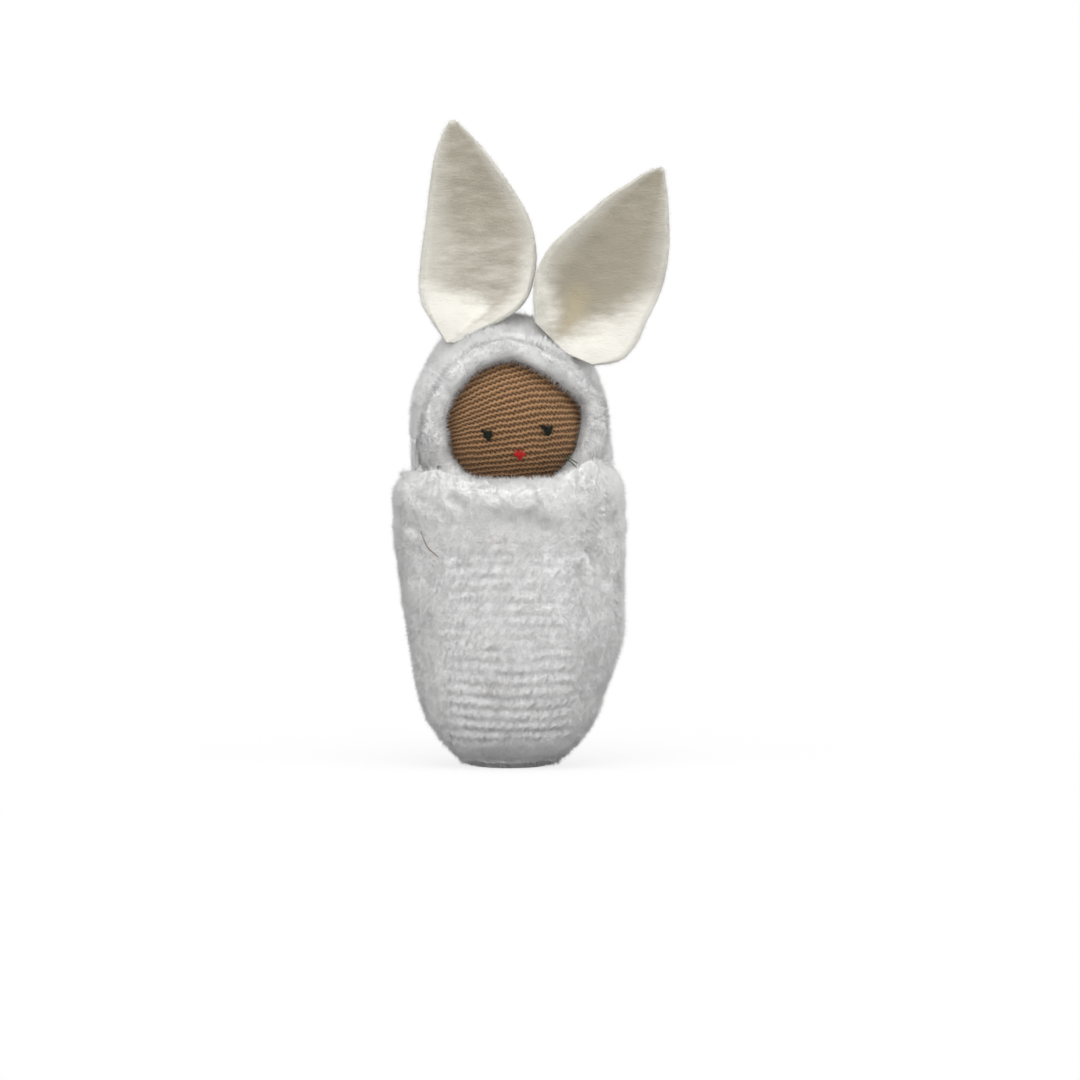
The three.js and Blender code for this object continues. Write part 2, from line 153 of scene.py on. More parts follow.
def smooth_step(low: float, high: float, value: Values) -> Values:
    """Ease from 0 at low to 1 at high."""
    share = np.clip((value - low) / (high - low), 0, 1)
    return share * share * (3 - 2 * share)


def ramp(low: float, high: float, value: Values) -> Values:
    """Straight rise from 0 at low to 1 at high."""
    return np.clip((value - low) / (high - low), 0, 1)


def unit(rows: Points) -> Points:
    """Rows scaled to length 1."""
    return rows / np.maximum(np.linalg.norm(rows, axis=-1, keepdims=True), 1e-9)


def soft_noise(points: Points, size: float, seed: int) -> Values:
    """Smooth seeded noise from -1 to 1.

    Args:
        points: Places in millimetres, one row each.
        size: About how wide a lump is.
        seed: Picks one noise from many.

    Returns:
        One value for each place.
    """
    grid = points / size + SEED_SHIFT * seed
    cell = np.floor(grid).astype(np.int64)
    part = grid - cell
    ease = part * part * (3 - 2 * part)
    total = np.zeros(len(points))
    for corner in np.ndindex(2, 2, 2):
        key = (cell + np.array(corner)) @ HASH_PRIMES + seed * SEED_STEP
        key = (key ^ (key >> 13)) * HASH_STIR
        value = ((key ^ (key >> 16)) & 0xFFFF) / 32767.5 - 1
        total += value * np.prod(np.where(np.array(corner) == 1, ease, 1 - ease), axis=1)
    return total


def noise_vector(points: Points, size: float, seed: int) -> Points:
    """Three soft noises side by side, as a vector for each place."""
    return np.stack([soft_noise(points, size, seed + k) for k in range(3)], axis=1)


@dataclass(frozen=True)
class Lumps:
    """Soft noises over one another, each with its height, size and seed."""

    layers: tuple[tuple[float, float, int], ...]

    def at(self, points: Points) -> Values:
        """Height of the lumps at each place."""
        return sum(height * soft_noise(points, size, seed) for height, size, seed in self.layers)


def catmull_rom(knots: Knots, shares: Values) -> Points:
    """Even spline through knots.

    Args:
        knots: Places that the curve passes through, in order.
        shares: Where to read the curve, from 0 to 1.

    Returns:
        One place for each share.
    """
    rows = np.asarray(knots, float)
    rows = np.vstack([rows[:1], rows, rows[-1:]])
    spans = len(rows) - 3
    at = np.clip(np.asarray(shares) * spans, 0, spans - 1e-9)
    first = np.floor(at).astype(int)
    t = (at - first)[:, None]
    p0, p1, p2, p3 = (rows[first + k] for k in range(4))
    tail = (3 * p1 - p0 - 3 * p2 + p3) * t**3
    return 0.5 * (2 * p1 + (p2 - p0) * t + (2 * p0 - 5 * p1 + 4 * p2 - p3) * t**2 + tail)


def on_ball(radius: float, side: float, up: float) -> Points:
    """Place on a ball about the head's centre, by degrees to the side of straight ahead, and up."""
    a, b = math.radians(side), math.radians(up)
    out = np.array([math.cos(b) * math.sin(a), -math.cos(b) * math.cos(a), math.sin(b)])
    return HEAD_CENTRE + radius * out


def away_from_axis(points: Points, normals: Points) -> Values:
    """How far each normal points away from the upright axis, times its place's distance from it."""
    return np.sum(points[:, :2] * normals[:, :2], axis=1)


def away_from_head(points: Points, normals: Points) -> Values:
    """How straight each normal points away from the head's centre, from -1 to 1."""
    return np.sum(unit(points - HEAD_CENTRE) * normals, axis=1)


def gaps_seen(points: Points, line: Points) -> Values:
    """Distance of each place from each (across, up) place of a line, seen from the front."""
    return np.linalg.norm(points[:, None, [0, 2]] - line[None], axis=2)


def grid_faces(rows: int, columns: int, wrap: bool) -> np.ndarray:
    """Quads over rows of points, joined round the columns where wrap is set."""
    row, column = np.meshgrid(np.arange(rows - 1), np.arange(columns if wrap else columns - 1), indexing="ij")
    after = (column + 1) % columns
    low, high = row * columns, (row + 1) * columns
    corners = [low + column, low + after, high + after, high + column]
    return np.stack(corners, axis=-1).reshape(-1, 4)


def capped_faces(rows: int, columns: int) -> np.ndarray:
    """Triangles of a closed tube: rows of points joined round, then the middles of its first and last row."""
    quads = grid_faces(rows, columns, wrap=True)
    number = np.arange(columns)
    after = (number + 1) % columns
    top = (rows - 1) * columns
    low = np.stack([after, number, np.full(columns, rows * columns)], axis=1)
    high = np.stack([top + number, top + after, np.full(columns, rows * columns + 1)], axis=1)
    return np.vstack([quads[:, [0, 1, 2]], quads[:, [0, 2, 3]], low, high])


def link_object(name: str, data: bpy.types.ID) -> Piece:
    """Add an object to the scene."""
    made = bpy.data.objects.new(name, data)
    bpy.context.scene.collection.objects.link(made)
    return made


def add_mesh(name: str, points: Points, faces: np.ndarray) -> Piece:
    """Add a smooth mesh object.

    Args:
        name: Name of the piece.
        points: Places in millimetres.
        faces: Rows of point numbers, with as many in each row.

    Returns:
        The new object, linked to the scene.
    """
    mesh = bpy.data.meshes.new(name)
    mesh.vertices.add(len(points))
    mesh.vertices.foreach_set("co", (points * MM).astype(np.float32).ravel())
    mesh.loops.add(faces.size)
    mesh.loops.foreach_set("vertex_index", faces.astype(np.int32).ravel())
    mesh.polygons.add(len(faces))
    mesh.polygons.foreach_set("loop_start", np.arange(0, faces.size, faces.shape[1], dtype=np.int32))
    mesh.update(calc_edges=True)
    mesh.shade_smooth()
    return link_object(name, mesh)


def node_box(node: str) -> tuple[Points, Points]:
    """Low and high corner of a solid's box, in millimetres."""
    low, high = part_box(node)
    return np.array(low) / MM, np.array(high) / MM


def read_points(piece: Piece) -> tuple[Points, Points]:
    """Places in millimetres and normals of a mesh's points."""
    count = len(piece.data.vertices)
    places = np.empty(count * 3, np.float32)
    normals = np.empty(count * 3, np.float32)
    piece.data.vertices.foreach_get("co", places)
    piece.data.vertices.foreach_get("normal", normals)
    return places.reshape(-1, 3).astype(float) / MM, normals.reshape(-1, 3).astype(float)


def write_points(piece: Piece, points: Points) -> None:
    """Set a mesh's points, in millimetres."""
    piece.data.vertices.foreach_set("co", (points * MM).astype(np.float32).ravel())
    piece.data.update()


def paint(piece: Piece, name: str, values: Values) -> None:
    """Store one number for each point of a mesh, for its material."""
    layer = piece.data.attributes.new(name, "FLOAT", "POINT")
    layer.data.foreach_set("value", values.astype(np.float32))


def tube(middle: Points, first: Points, second: Points, sizes: Values,
         sides: int) -> tuple[Points, np.ndarray]:
    """Closed tube round a course.

    Args:
        middle: Places along the course.
        first: Direction across the course at each place.
        second: Direction across both.
        sizes: Radius at each place.
        sides: How many sides the tube has.

    Returns:
        Points and triangles.
    """
    angles = 2 * math.pi * np.arange(sides) / sides
    ring = np.cos(angles)[None, :, None] * first[:, None] + np.sin(angles)[None, :, None] * second[:, None]
    skin = (middle[:, None] + sizes[:, None, None] * ring).reshape(-1, 3)
    return np.vstack([skin, middle[:1], middle[-1:]]), capped_faces(len(middle), sides)


def bake_modifiers(piece: Piece) -> None:
    """Turn a piece's modifiers into its own mesh."""
    shaped = piece.evaluated_get(bpy.context.evaluated_depsgraph_get())
    mesh = bpy.data.meshes.new_from_object(shaped)
    piece.modifiers.clear()
    piece.data = mesh


def even_mesh(piece: Piece, voxel: float) -> None:
    """Mesh a piece anew with even faces of about a size in its own units."""
    remesh = piece.modifiers.new("even_mesh", "REMESH")
    remesh.mode = "VOXEL"
    remesh.voxel_size = voxel
    bake_modifiers(piece)


@dataclass(frozen=True)
class Field:
    """A number that varies over a surface, with Python's arithmetic."""

    graph: "ShaderGraph"
    socket: Socket

    def __add__(self, other: "Field | float") -> "Field":
        """Sum."""
        return self.graph.math("ADD", self, other)

    def __radd__(self, other: float) -> "Field":
        """Sum, from the right."""
        return self.graph.math("ADD", other, self)

    def __sub__(self, other: "Field | float") -> "Field":
        """Difference."""
        return self.graph.math("SUBTRACT", self, other)

    def __rsub__(self, other: float) -> "Field":
        """Difference, from the right."""
        return self.graph.math("SUBTRACT", other, self)

    def __mul__(self, other: "Field | float") -> "Field":
        """Product."""
        return self.graph.math("MULTIPLY", self, other)

    def __rmul__(self, other: float) -> "Field":
        """Product, from the right."""
        return self.graph.math("MULTIPLY", other, self)

    def __truediv__(self, other: "Field | float") -> "Field":
        """Quotient."""
        return self.graph.math("DIVIDE", self, other)

    def __pow__(self, other: float) -> "Field":
        """Power."""
        return self.graph.math("POWER", self, other)

    def fraction(self) -> "Field":
        """Part after the whole number."""
        return self.graph.math("FRACT", self)

    def sine(self) -> "Field":
        """Sine of an angle in radians."""
        return self.graph.math("SINE", self)

    def bell(self, middle: float, width: float) -> "Field":
        """Bell curve of height 1 about a middle."""
        away = (self - middle) / width
        return self.graph.math("EXPONENT", away * away * -1.0)

    def ease(self, low: float, high: float) -> "Field":
        """Ease from 0 at low to 1 at high."""
        sockets = {"Value": self, "From Min": low, "From Max": high}
        node = self.graph.node("ShaderNodeMapRange", {"interpolation_type": "SMOOTHSTEP"}, sockets)
        return Field(self.graph, node.outputs["Result"])


class ShaderGraph:
    """Nodes of one material, or of the world."""

    def __init__(self, owner: Material | bpy.types.World) -> None:
        """Empty the owner's nodes."""
        self.owner = owner
        self.owner.use_nodes = True
        self.tree = self.owner.node_tree
        self.tree.nodes.clear()

    def node(self, kind: str, settings: dict[str, Any] | None = None,
             sockets: dict[str | int, Any] | None = None) -> bpy.types.Node:
        """Add a node.

        Args:
            kind: Blender's name for the node's type.
            settings: Properties of the node, set first.
            sockets: Values or links of its inputs, by name or number.

        Returns:
            The new node.
        """
        made = self.tree.nodes.new(kind)
        for key, value in (settings or {}).items():
            setattr(made, key, value)
        for key, value in (sockets or {}).items():
            source = value.socket if isinstance(value, Field) else value
            if isinstance(source, Socket):
                self.tree.links.new(source, made.inputs[key])
            elif isinstance(source, tuple) and made.inputs[key].type == "RGBA":
                made.inputs[key].default_value = (*source, 1.0)
            else:
                made.inputs[key].default_value = source
        return made

    def math(self, operation: str, *values: Field | float) -> Field:
        """Add a Math node and give its result."""
        made = self.node("ShaderNodeMath", {"operation": operation}, dict(enumerate(values)))
        return Field(self, made.outputs[0])

    def attribute(self, name: str) -> Field:
        """Number stored on the mesh's points."""
        made = self.node("ShaderNodeAttribute", {"attribute_name": name})
        return Field(self, made.outputs["Fac"])

    def place(self) -> Socket:
        """Place on the piece, in metres."""
        return self.node("ShaderNodeTexCoord").outputs["Object"]

    def noise(self, size: float, detail: float = 2.0, stretch: Colour = (1.0, 1.0, 1.0)) -> Field:
        """Noise from 0 to 1 with lumps of a size in millimetres, drawn out along the axes by stretch."""
        scale = tuple(1.0 / (MM * size * s) for s in stretch)
        place = self.node("ShaderNodeMapping", None, {"Vector": self.place(), "Scale": scale})
        sockets = {"Vector": place.outputs[0], "Scale": 1.0, "Detail": detail, "Roughness": 0.6}
        return Field(self, self.node("ShaderNodeTexNoise", None, sockets).outputs["Fac"])

    def mix(self, share: Field, first: Colour | Socket,
            second: Colour | Socket) -> Socket:
        """Colour between two, first where share is 0 and second where it is 1."""
        made = self.node("ShaderNodeMix", {"data_type": "RGBA"}, {0: share, 6: first, 7: second})
        return made.outputs[2]

    def bump(self, height: Field, depth: float) -> Socket:
        """Normal from a height of 0 to 1 and a depth in millimetres."""
        return self.node("ShaderNodeBump", None, {"Height": height, "Distance": depth * MM}).outputs[0]

    def close(self, **sockets: Any) -> Material:
        """Add the surface shader with its sockets and give the material."""
        named = {key.replace("_", " ").title().replace("Ior", "IOR"): value for key, value in sockets.items()}
        shader = self.node("ShaderNodeBsdfPrincipled", None, named)
        self.node("ShaderNodeOutputMaterial", None, {"Surface": shader.outputs[0]})
        return self.owner

    def in_sight(self) -> Field:
        """1 for what the camera sees, straight or mirrored, and 0 for the light on other things."""
        light = self.node("ShaderNodeLightPath").outputs
        seen, mirrored = (Field(self, light[name]) for name in ("Is Camera Ray", "Is Glossy Ray"))
        direct = self.math("MAXIMUM", seen, mirrored)
        return self.math("MAXIMUM", direct, Field(self, light["Is Transmission Ray"]))


@dataclass(frozen=True)
class Finish:
    """A finish whose material is made once."""

    name: str

    def material(self) -> Material:
        """The finish's material, made on its first use."""
        made = bpy.data.materials.get(self.name)
        return made or self.draw(ShaderGraph(bpy.data.materials.new(self.name)))

    def draw(self, graph: ShaderGraph) -> Material:
        """Draw the finish's nodes."""
        raise NotImplementedError


@dataclass(frozen=True)
class PlushCloth(Finish):
    """Backing of the plush: brushed white yarn, greyer by painted shade where it is pressed in."""

    # The yarn's colour, and the greyer one of its painted shade and its mottle.
    high: Colour = (0.86, 0.86, 0.85)
    low: Colour = (0.80, 0.80, 0.80)
    nap_size: float = 0.5
    nap_depth: float = 0.25
    patch_size: float = 6.0

    def draw(self, graph: ShaderGraph) -> Material:
        """Draw the yarn's mottle, the painted shade of its grooves and its nap."""
        nap = graph.noise(self.nap_size, 4.0)
        patches = graph.noise(self.patch_size, 2.0)
        # Painted shade by how far the cloth is pressed in, made patchy by the mottle and the nap.
        pressed = graph.attribute("pressed") + (patches - 0.5) * 0.5 + (nap - 0.5) * 0.3
        colour = graph.mix(pressed.ease(-0.2, 1.2), self.high, self.low)
        return graph.close(base_color=colour, roughness=0.82 + 0.16 * nap, sheen_weight=0.25,
                           specular_ior_level=0.15, normal=graph.bump(nap, self.nap_depth))


@dataclass(frozen=True)
class PileFibre(Finish):
    """Loose fibres: plain, grey or tinted by thirds across their UV map; root, in painted shade, to tip along
    it.
    """

    root: Colour = (0.86, 0.86, 0.855)
    tip: Colour = (0.91, 0.91, 0.90)
    grey: Colour = (0.78, 0.78, 0.78)
    tint: Colour = (0.72, 0.50, 0.50)
    shadow: Colour = (0.3, 0.3, 0.3)
    spread: float = 0.05
    shades: float = 197.0

    def draw(self, graph: ShaderGraph) -> Material:
        """Draw the fibres' shades from their own map."""
        place = graph.node("ShaderNodeUVMap", {"uv_map": PILE_UV})
        parts = graph.node("ShaderNodeSeparateXYZ", None, {0: place.outputs[0]})
        across, along = Field(graph, parts.outputs[0]), Field(graph, parts.outputs[1])
        steps = graph.math("FLOOR", across * self.shades)
        shade = graph.node("ShaderNodeTexWhiteNoise", {"noise_dimensions": "1D"}, {"W": steps})
        # Painted shade at the root, where the fibres shade one another.
        colour = graph.mix(along.ease(0.0, 0.8), self.root, self.tip)
        colour = graph.mix(graph.math("GREATER_THAN", across, 1 / 3), colour, self.grey)
        colour = graph.mix(graph.math("GREATER_THAN", across, 2 / 3), colour, self.tint)
        colour = graph.mix(Field(graph, shade.outputs[0]) * self.spread, colour, self.shadow)
        return graph.close(base_color=colour, roughness=0.95 - 0.1 * along, sheen_weight=0.1,
                           specular_ior_level=0.05)


@dataclass(frozen=True)
class KnitJersey(Finish):
    """Purl side of a fine brown knit: ridges with a painted highlight over rows of stitch holes in painted
    shade.
    """

    # The yarn's colour, its painted highlight on the ridges, the painted shade in the holes, and a stain.
    mid: Colour = (0.190, 0.102, 0.047)
    ridge: Colour = (0.43, 0.250, 0.125)
    hole: Colour = (0.018, 0.008, 0.003)
    stain: Colour = (0.18, 0.10, 0.05)
    hair_size: float = 0.22
    hair_depth: float = 0.12
    crest_patch_size: float = 1.5
    stain_size: float = 5.0

    def draw(self, graph: ShaderGraph) -> Material:
        """Draw the rows and stitches from the numbers stored on the knit."""
        turn = graph.attribute("stitch") * (2 * math.pi)
        row = (graph.attribute("row") + turn.sine() * ROW_WAVE).fraction()
        yarn = graph.noise(self.hair_size, 3.0)
        crest_patches = graph.noise(self.crest_patch_size, 2.0)
        hollow = 0.5 + 0.5 * (turn + HOLE_PHASE).sine()
        # Painted highlight on the ridges' crests, in random patches, and painted shade in the stitch holes.
        crest = row.bell(0.5, 0.15) * (0.2 + 0.5 * yarn + 0.6 * crest_patches + 0.3 * (1 - hollow))
        hole = hollow ** HOLE_SHARPNESS
        groove = (row.bell(0.0, HOLE_WIDTH) + row.bell(1.0, HOLE_WIDTH)) * hole
        colour = graph.mix(crest, self.mid, self.ridge)
        colour = graph.mix((groove * (0.75 + 0.5 * yarn)).ease(0.1, 0.95), colour, self.hole)
        uneven = graph.noise(self.stain_size, 2.0)
        colour = graph.mix((uneven - 0.42) * 0.5, colour, self.stain)
        return graph.close(base_color=colour, roughness=0.78 + 0.2 * yarn, sheen_weight=0.1,
                           specular_ior_level=0.2, normal=graph.bump(yarn, self.hair_depth))


@dataclass(frozen=True)
class WoolFelt(Finish):
    """Thick cream felt: mottled, greyer towards the tip by painted shade, pale along its cut edge."""

    # The felt lit, its painted shade higher up, its paler edge, the painted shade in the hollow, and a grey
    # mottle.
    foot: Colour = (0.765, 0.745, 0.685)
    upper: Colour = (0.335, 0.302, 0.236)
    edge: Colour = (0.68, 0.665, 0.61)
    hollow_shade: Colour = (0.42, 0.362, 0.245)
    grey_mottle: Colour = (0.315, 0.295, 0.24)
    cloud_size: float = 6.0
    streak_size: float = 2.4
    mat_size: float = 0.6
    mat_depth: float = 0.22

    def draw(self, graph: ShaderGraph) -> Material:
        """Draw the felt's painted light and shade, its clouds, matted fibres and edge."""
        clouds = graph.noise(self.cloud_size, 3.0, (1.8, 1.0, 0.6))
        streaks = graph.noise(self.streak_size, 3.0, (2.4, 1.0, 0.6))
        matting = graph.noise(self.mat_size, 4.0, (1.8, 1.0, 0.8))
        # The stored painted shade, made uneven: pale felt where the felt is lit, grey-beige where it is
        # shaded.
        along = graph.attribute("along") + (clouds - 0.5) * 0.35 + (streaks - 0.5) * 0.45
        colour = graph.mix(along.ease(0.0, 1.0), self.foot, self.upper)
        # A grey mottle of clouds and streaks that deepens the painted shade.
        grey = (clouds * 0.45 + streaks * 0.35 + matting * 0.2).ease(0.38, 0.66)
        grey = grey * 0.55 * along.ease(-0.1, 0.9)
        colour = graph.mix(grey, colour, self.grey_mottle)
        # Painted shade, warm and darker, in the hollow.
        colour = graph.mix(graph.attribute("hollow_shade") * along.ease(0.2, 0.8) * 0.75, colour, self.hollow_shade)
        # A paler cut edge: partly the felt's own edge, partly a painted highlight.
        colour = graph.mix(graph.attribute("edge") * (0.4 + 0.6 * clouds), colour, self.edge)
        return graph.close(base_color=colour, roughness=0.85 + 0.13 * matting, sheen_weight=0.3,
                           specular_ior_level=0.1, normal=graph.bump(matting, self.mat_depth))


@dataclass(frozen=True)
class SpunFibre(Finish):
    """Spun or carded fibre of one colour, with lighter and darker strands."""

    light: Colour = (0.8, 0.78, 0.7)
    dark: Colour = (0.5, 0.48, 0.42)
    grain: float = 0.25

    def draw(self, graph: ShaderGraph) -> Material:
        """Draw the strands."""
        strands = graph.noise(self.grain, 3.0, (1.0, 1.0, 2.5))
        colour = graph.mix(strands.ease(0.3, 0.7), self.dark, self.light)
        return graph.close(base_color=colour, roughness=0.7 + 0.25 * strands, sheen_weight=0.02,
                           specular_ior_level=0.1, normal=graph.bump(strands, 0.4 * self.grain))


PLUSH_CLOTH = PlushCloth("plush_cloth")
PLUSH_PILE = PileFibre("plush_pile")
# The roll's fibres: the plush pile darkened, as painted shade on the rolled edge.
SHADED_ROLL_PILE = PileFibre("roll_pile", (0.76, 0.76, 0.76), (0.84, 0.84, 0.83), (0.62, 0.62, 0.62))
TUFT_PILE = PileFibre("tuft_pile", (0.78, 0.78, 0.78), (0.93, 0.93, 0.92))
# The felt's fuzz in the colour of the felt's painted shade, tinted to the lit felt where the ear's painted
# light is.
FELT_FUZZ = PileFibre("felt_fuzz", (0.40, 0.37, 0.30), (0.46, 0.43, 0.36), tint=(0.79, 0.77, 0.71))
FELT_FEATHER = PileFibre("felt_feather", (0.80, 0.785, 0.735), (0.88, 0.865, 0.815))
WOOL_STRAND = PileFibre("wool_strand", (0.66, 0.61, 0.51), (0.80, 0.76, 0.66))
KNIT = KnitJersey("knit_jersey")
FELT = WoolFelt("wool_felt")
DARK_THREAD = SpunFibre("dark_thread_finish", (0.020, 0.026, 0.020), (0.006, 0.007, 0.006), 0.2)
GREEN_THREAD = SpunFibre("green_thread_finish", (0.12, 0.15, 0.10), (0.03, 0.04, 0.028), 0.2)
RED_THREAD = SpunFibre("red_thread_finish", (0.62, 0.035, 0.035), (0.34, 0.012, 0.014), 0.2)
PALE_THREAD = SpunFibre("pale_thread_finish", (0.76, 0.76, 0.77), (0.62, 0.62, 0.64), 0.2)
WHITE_THREAD = SpunFibre("white_thread_finish", (0.82, 0.82, 0.81), (0.72, 0.72, 0.72), 0.2)
CARDED_WOOL = SpunFibre("carded_wool", (0.80, 0.75, 0.64), (0.58, 0.53, 0.43), 1.2)
GAUZE = SpunFibre("gauze_finish", (0.86, 0.84, 0.78), (0.62, 0.60, 0.55), 0.5)
BROWN_HAIR = SpunFibre("brown_hair", (0.22, 0.13, 0.08), (0.12, 0.07, 0.05), 0.3)


def dress(piece: Piece, finish: Finish, body: Body, slot: Slot, *nodes: str) -> Piece:
    """Give a piece its finish, its body and its place in the frame.

    Args:
        piece: The finished piece.
        finish: Its finish.
        body: The body that it moves with.
        slot: The record's slot that its finish follows; not used.
        nodes: The solids that it stands for.

    Returns:
        The same piece.
    """
    piece.data.materials.clear()
    piece.data.materials.append(finish.material())
    if nodes:
        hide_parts(*nodes)
    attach(piece, body.value)
    LOG.info("%s on %s: %d faces", piece.name, body.value, len(piece.data.polygons))
    return piece


def dress_all(pieces: Sequence[Piece], finish: Finish, body: Body, slot: Slot) -> None:
    """Give pieces of fibres, which stand for no solid, their finish and body."""
    for piece in pieces:
        dress(piece, finish, body, slot)


@dataclass(frozen=True)
class Strands:
    """Fibres as thin closed needles, each from its root to its tip, shaded partly as the cloth under them."""

    roots: Points
    tips: Points
    outward: Points
    thickness: float
    shades: Values
    even: float = 0.82

    CORNERS: ClassVar[np.ndarray] = np.array([(2, 1, 0), (0, 1, 3), (1, 2, 3), (2, 0, 3)])
    LEVELS: ClassVar[np.ndarray] = np.array([0.02, 0.02, 0.02, 0.98])

    def meshes(self, name: str) -> list[Piece]:
        """Make the needles, in as many pieces as their faces need.

        Args:
            name: Name of the pieces, before their numbers.

        Returns:
            The pieces.
        """
        parts = max(1, math.ceil(len(self.roots) * len(self.CORNERS) / MOST_FACES))
        return [self._mesh(f"{name}_{k + 1}", slice(k, None, parts)) for k in range(parts)]

    def _mesh(self, name: str, pick: slice) -> Piece:
        """Make one share of the needles."""
        roots, tips, shades = self.roots[pick], self.tips[pick], self.shades[pick]
        count = len(roots)
        along = unit(tips - roots)
        first = unit(np.cross(along, unit(np.roll(along, 1, axis=1) + 0.3)))
        second = np.cross(along, first)
        points = np.empty((count, 4, 3))
        normals = np.empty((count, 4, 3))
        for k in range(3):
            angle = 2 * math.pi * k / 3
            normals[:, k] = math.cos(angle) * first + math.sin(angle) * second
            points[:, k] = roots + 0.5 * self.thickness * normals[:, k]
        points[:, 3] = tips
        normals[:, 3] = along
        normals = unit(self.even * self.outward[pick][:, None] + (1 - self.even) * normals)
        faces = (np.arange(count)[:, None, None] * 4 + self.CORNERS).reshape(-1, 3)
        piece = add_mesh(name, points.reshape(-1, 3), faces)
        places = np.empty((count, *self.CORNERS.shape, 2), np.float32)
        places[..., 0] = shades[:, None, None]
        places[..., 1] = self.LEVELS[self.CORNERS]
        layer = piece.data.uv_layers.new(name=PILE_UV)
        layer.data.foreach_set("uv", places.ravel())
        piece.data.normals_split_custom_set_from_vertices(normals.reshape(-1, 3))
        return piece


@dataclass(frozen=True)
class Pile:
    """Plush pile grown on a cloth."""

    density: float = 9.0
    length: float = 1.4
    thickness: float = 0.13
    lean: float = 0.6
    lean_spread: float = 0.2
    shortest: float = 0.65
    uneven: float = 0.6
    tufted: float = 0.2
    swirl: float = 0.9
    swirl_size: float = 6.0
    stray: float = 0.55
    clump: float = 2.4
    comb: Colour = (0.0, 0.0, -1.0)
    seed: int = 1

    LEAN_RANGE: ClassVar[Span] = (0.1, 0.95)

    def scatter(self, cloth: Piece, share: Values,
                random: np.random.Generator) -> tuple[Points, Points, np.ndarray]:
        """Scatter roots over a cloth.

        Args:
            cloth: The finished cloth.
            share: Share of the density at each of its points.
            random: Where the draws come from.

        Returns:
            The roots, the way out of the cloth at each, and the corners of the triangle that it lies on.
        """
        points, normals = read_points(cloth)
        cloth.data.calc_loop_triangles()
        corners = np.empty(len(cloth.data.loop_triangles) * 3, np.int32)
        cloth.data.loop_triangles.foreach_get("vertices", corners)
        corners = corners.reshape(-1, 3)
        a, b, c = (points[corners[:, k]] for k in range(3))
        area = 0.5 * np.linalg.norm(np.cross(b - a, c - a), axis=1)
        area *= np.clip(share[corners].mean(axis=1), 0, 1)
        count = int(area.sum() * self.density)
        picked = random.choice(len(corners), count, p=area / area.sum())
        u, v = random.random((2, count))
        flip = u + v > 1
        u[flip], v[flip] = 1 - u[flip], 1 - v[flip]
        a, b, c = a[picked], b[picked], c[picked]
        roots = a + (b - a) * u[:, None] + (c - a) * v[:, None]
        return roots, unit(normals[corners[picked]].sum(axis=1)), corners[picked]

    def grow(self, name: str, cloth: Piece, share: Values, grey: Values | None = None,
             tinted: Values | None = None) -> list[Piece]:
        """Grow fibres on a cloth.

        Args:
            name: Name of the fibre pieces.
            cloth: The finished cloth.
            share: Share of the density at each of its points.
            grey: Share of greyer fibres at each point.
            tinted: Share of tinted fibres at each point.

        Returns:
            The fibre pieces.
        """
        random = np.random.default_rng(self.seed)
        roots, out, corners = self.scatter(cloth, share, random)
        count = len(roots)
        flow = np.array(self.comb) + self.swirl * noise_vector(roots, self.swirl_size, self.seed + 3)
        flow += self.swirl * noise_vector(roots, self.clump, self.seed + 7)
        flow += self.stray * random.normal(size=(count, 3))
        flow = unit(flow - out * np.sum(flow * out, axis=1, keepdims=True))
        lean = np.clip(self.lean + self.lean_spread * random.normal(size=count), *self.LEAN_RANGE)[:, None]
        clumps = soft_noise(roots, self.clump, self.seed + 11)
        fluff = self.shortest + self.uneven * random.random(count) + self.tufted * clumps
        reach = self.length * fluff[:, None]
        tips = roots + reach * (out * np.sqrt(1 - lean**2) + flow * lean)
        tips[:, 2] = np.maximum(tips[:, 2], TIP_FLOOR)
        shades = PLAIN_SHADES * random.random(count)
        for third, marks in ((1, grey), (2, tinted)):
            if marks is not None:
                marked = random.random(count) < marks[corners].mean(axis=1)
                within = (PLAIN_SHADES - SHADE_EDGE) * random.random(int(marked.sum()))
                shades[marked] = third / 3 + SHADE_EDGE + within
        return Strands(roots - ROOT_DEPTH * out, tips, out, self.thickness, shades).meshes(name)


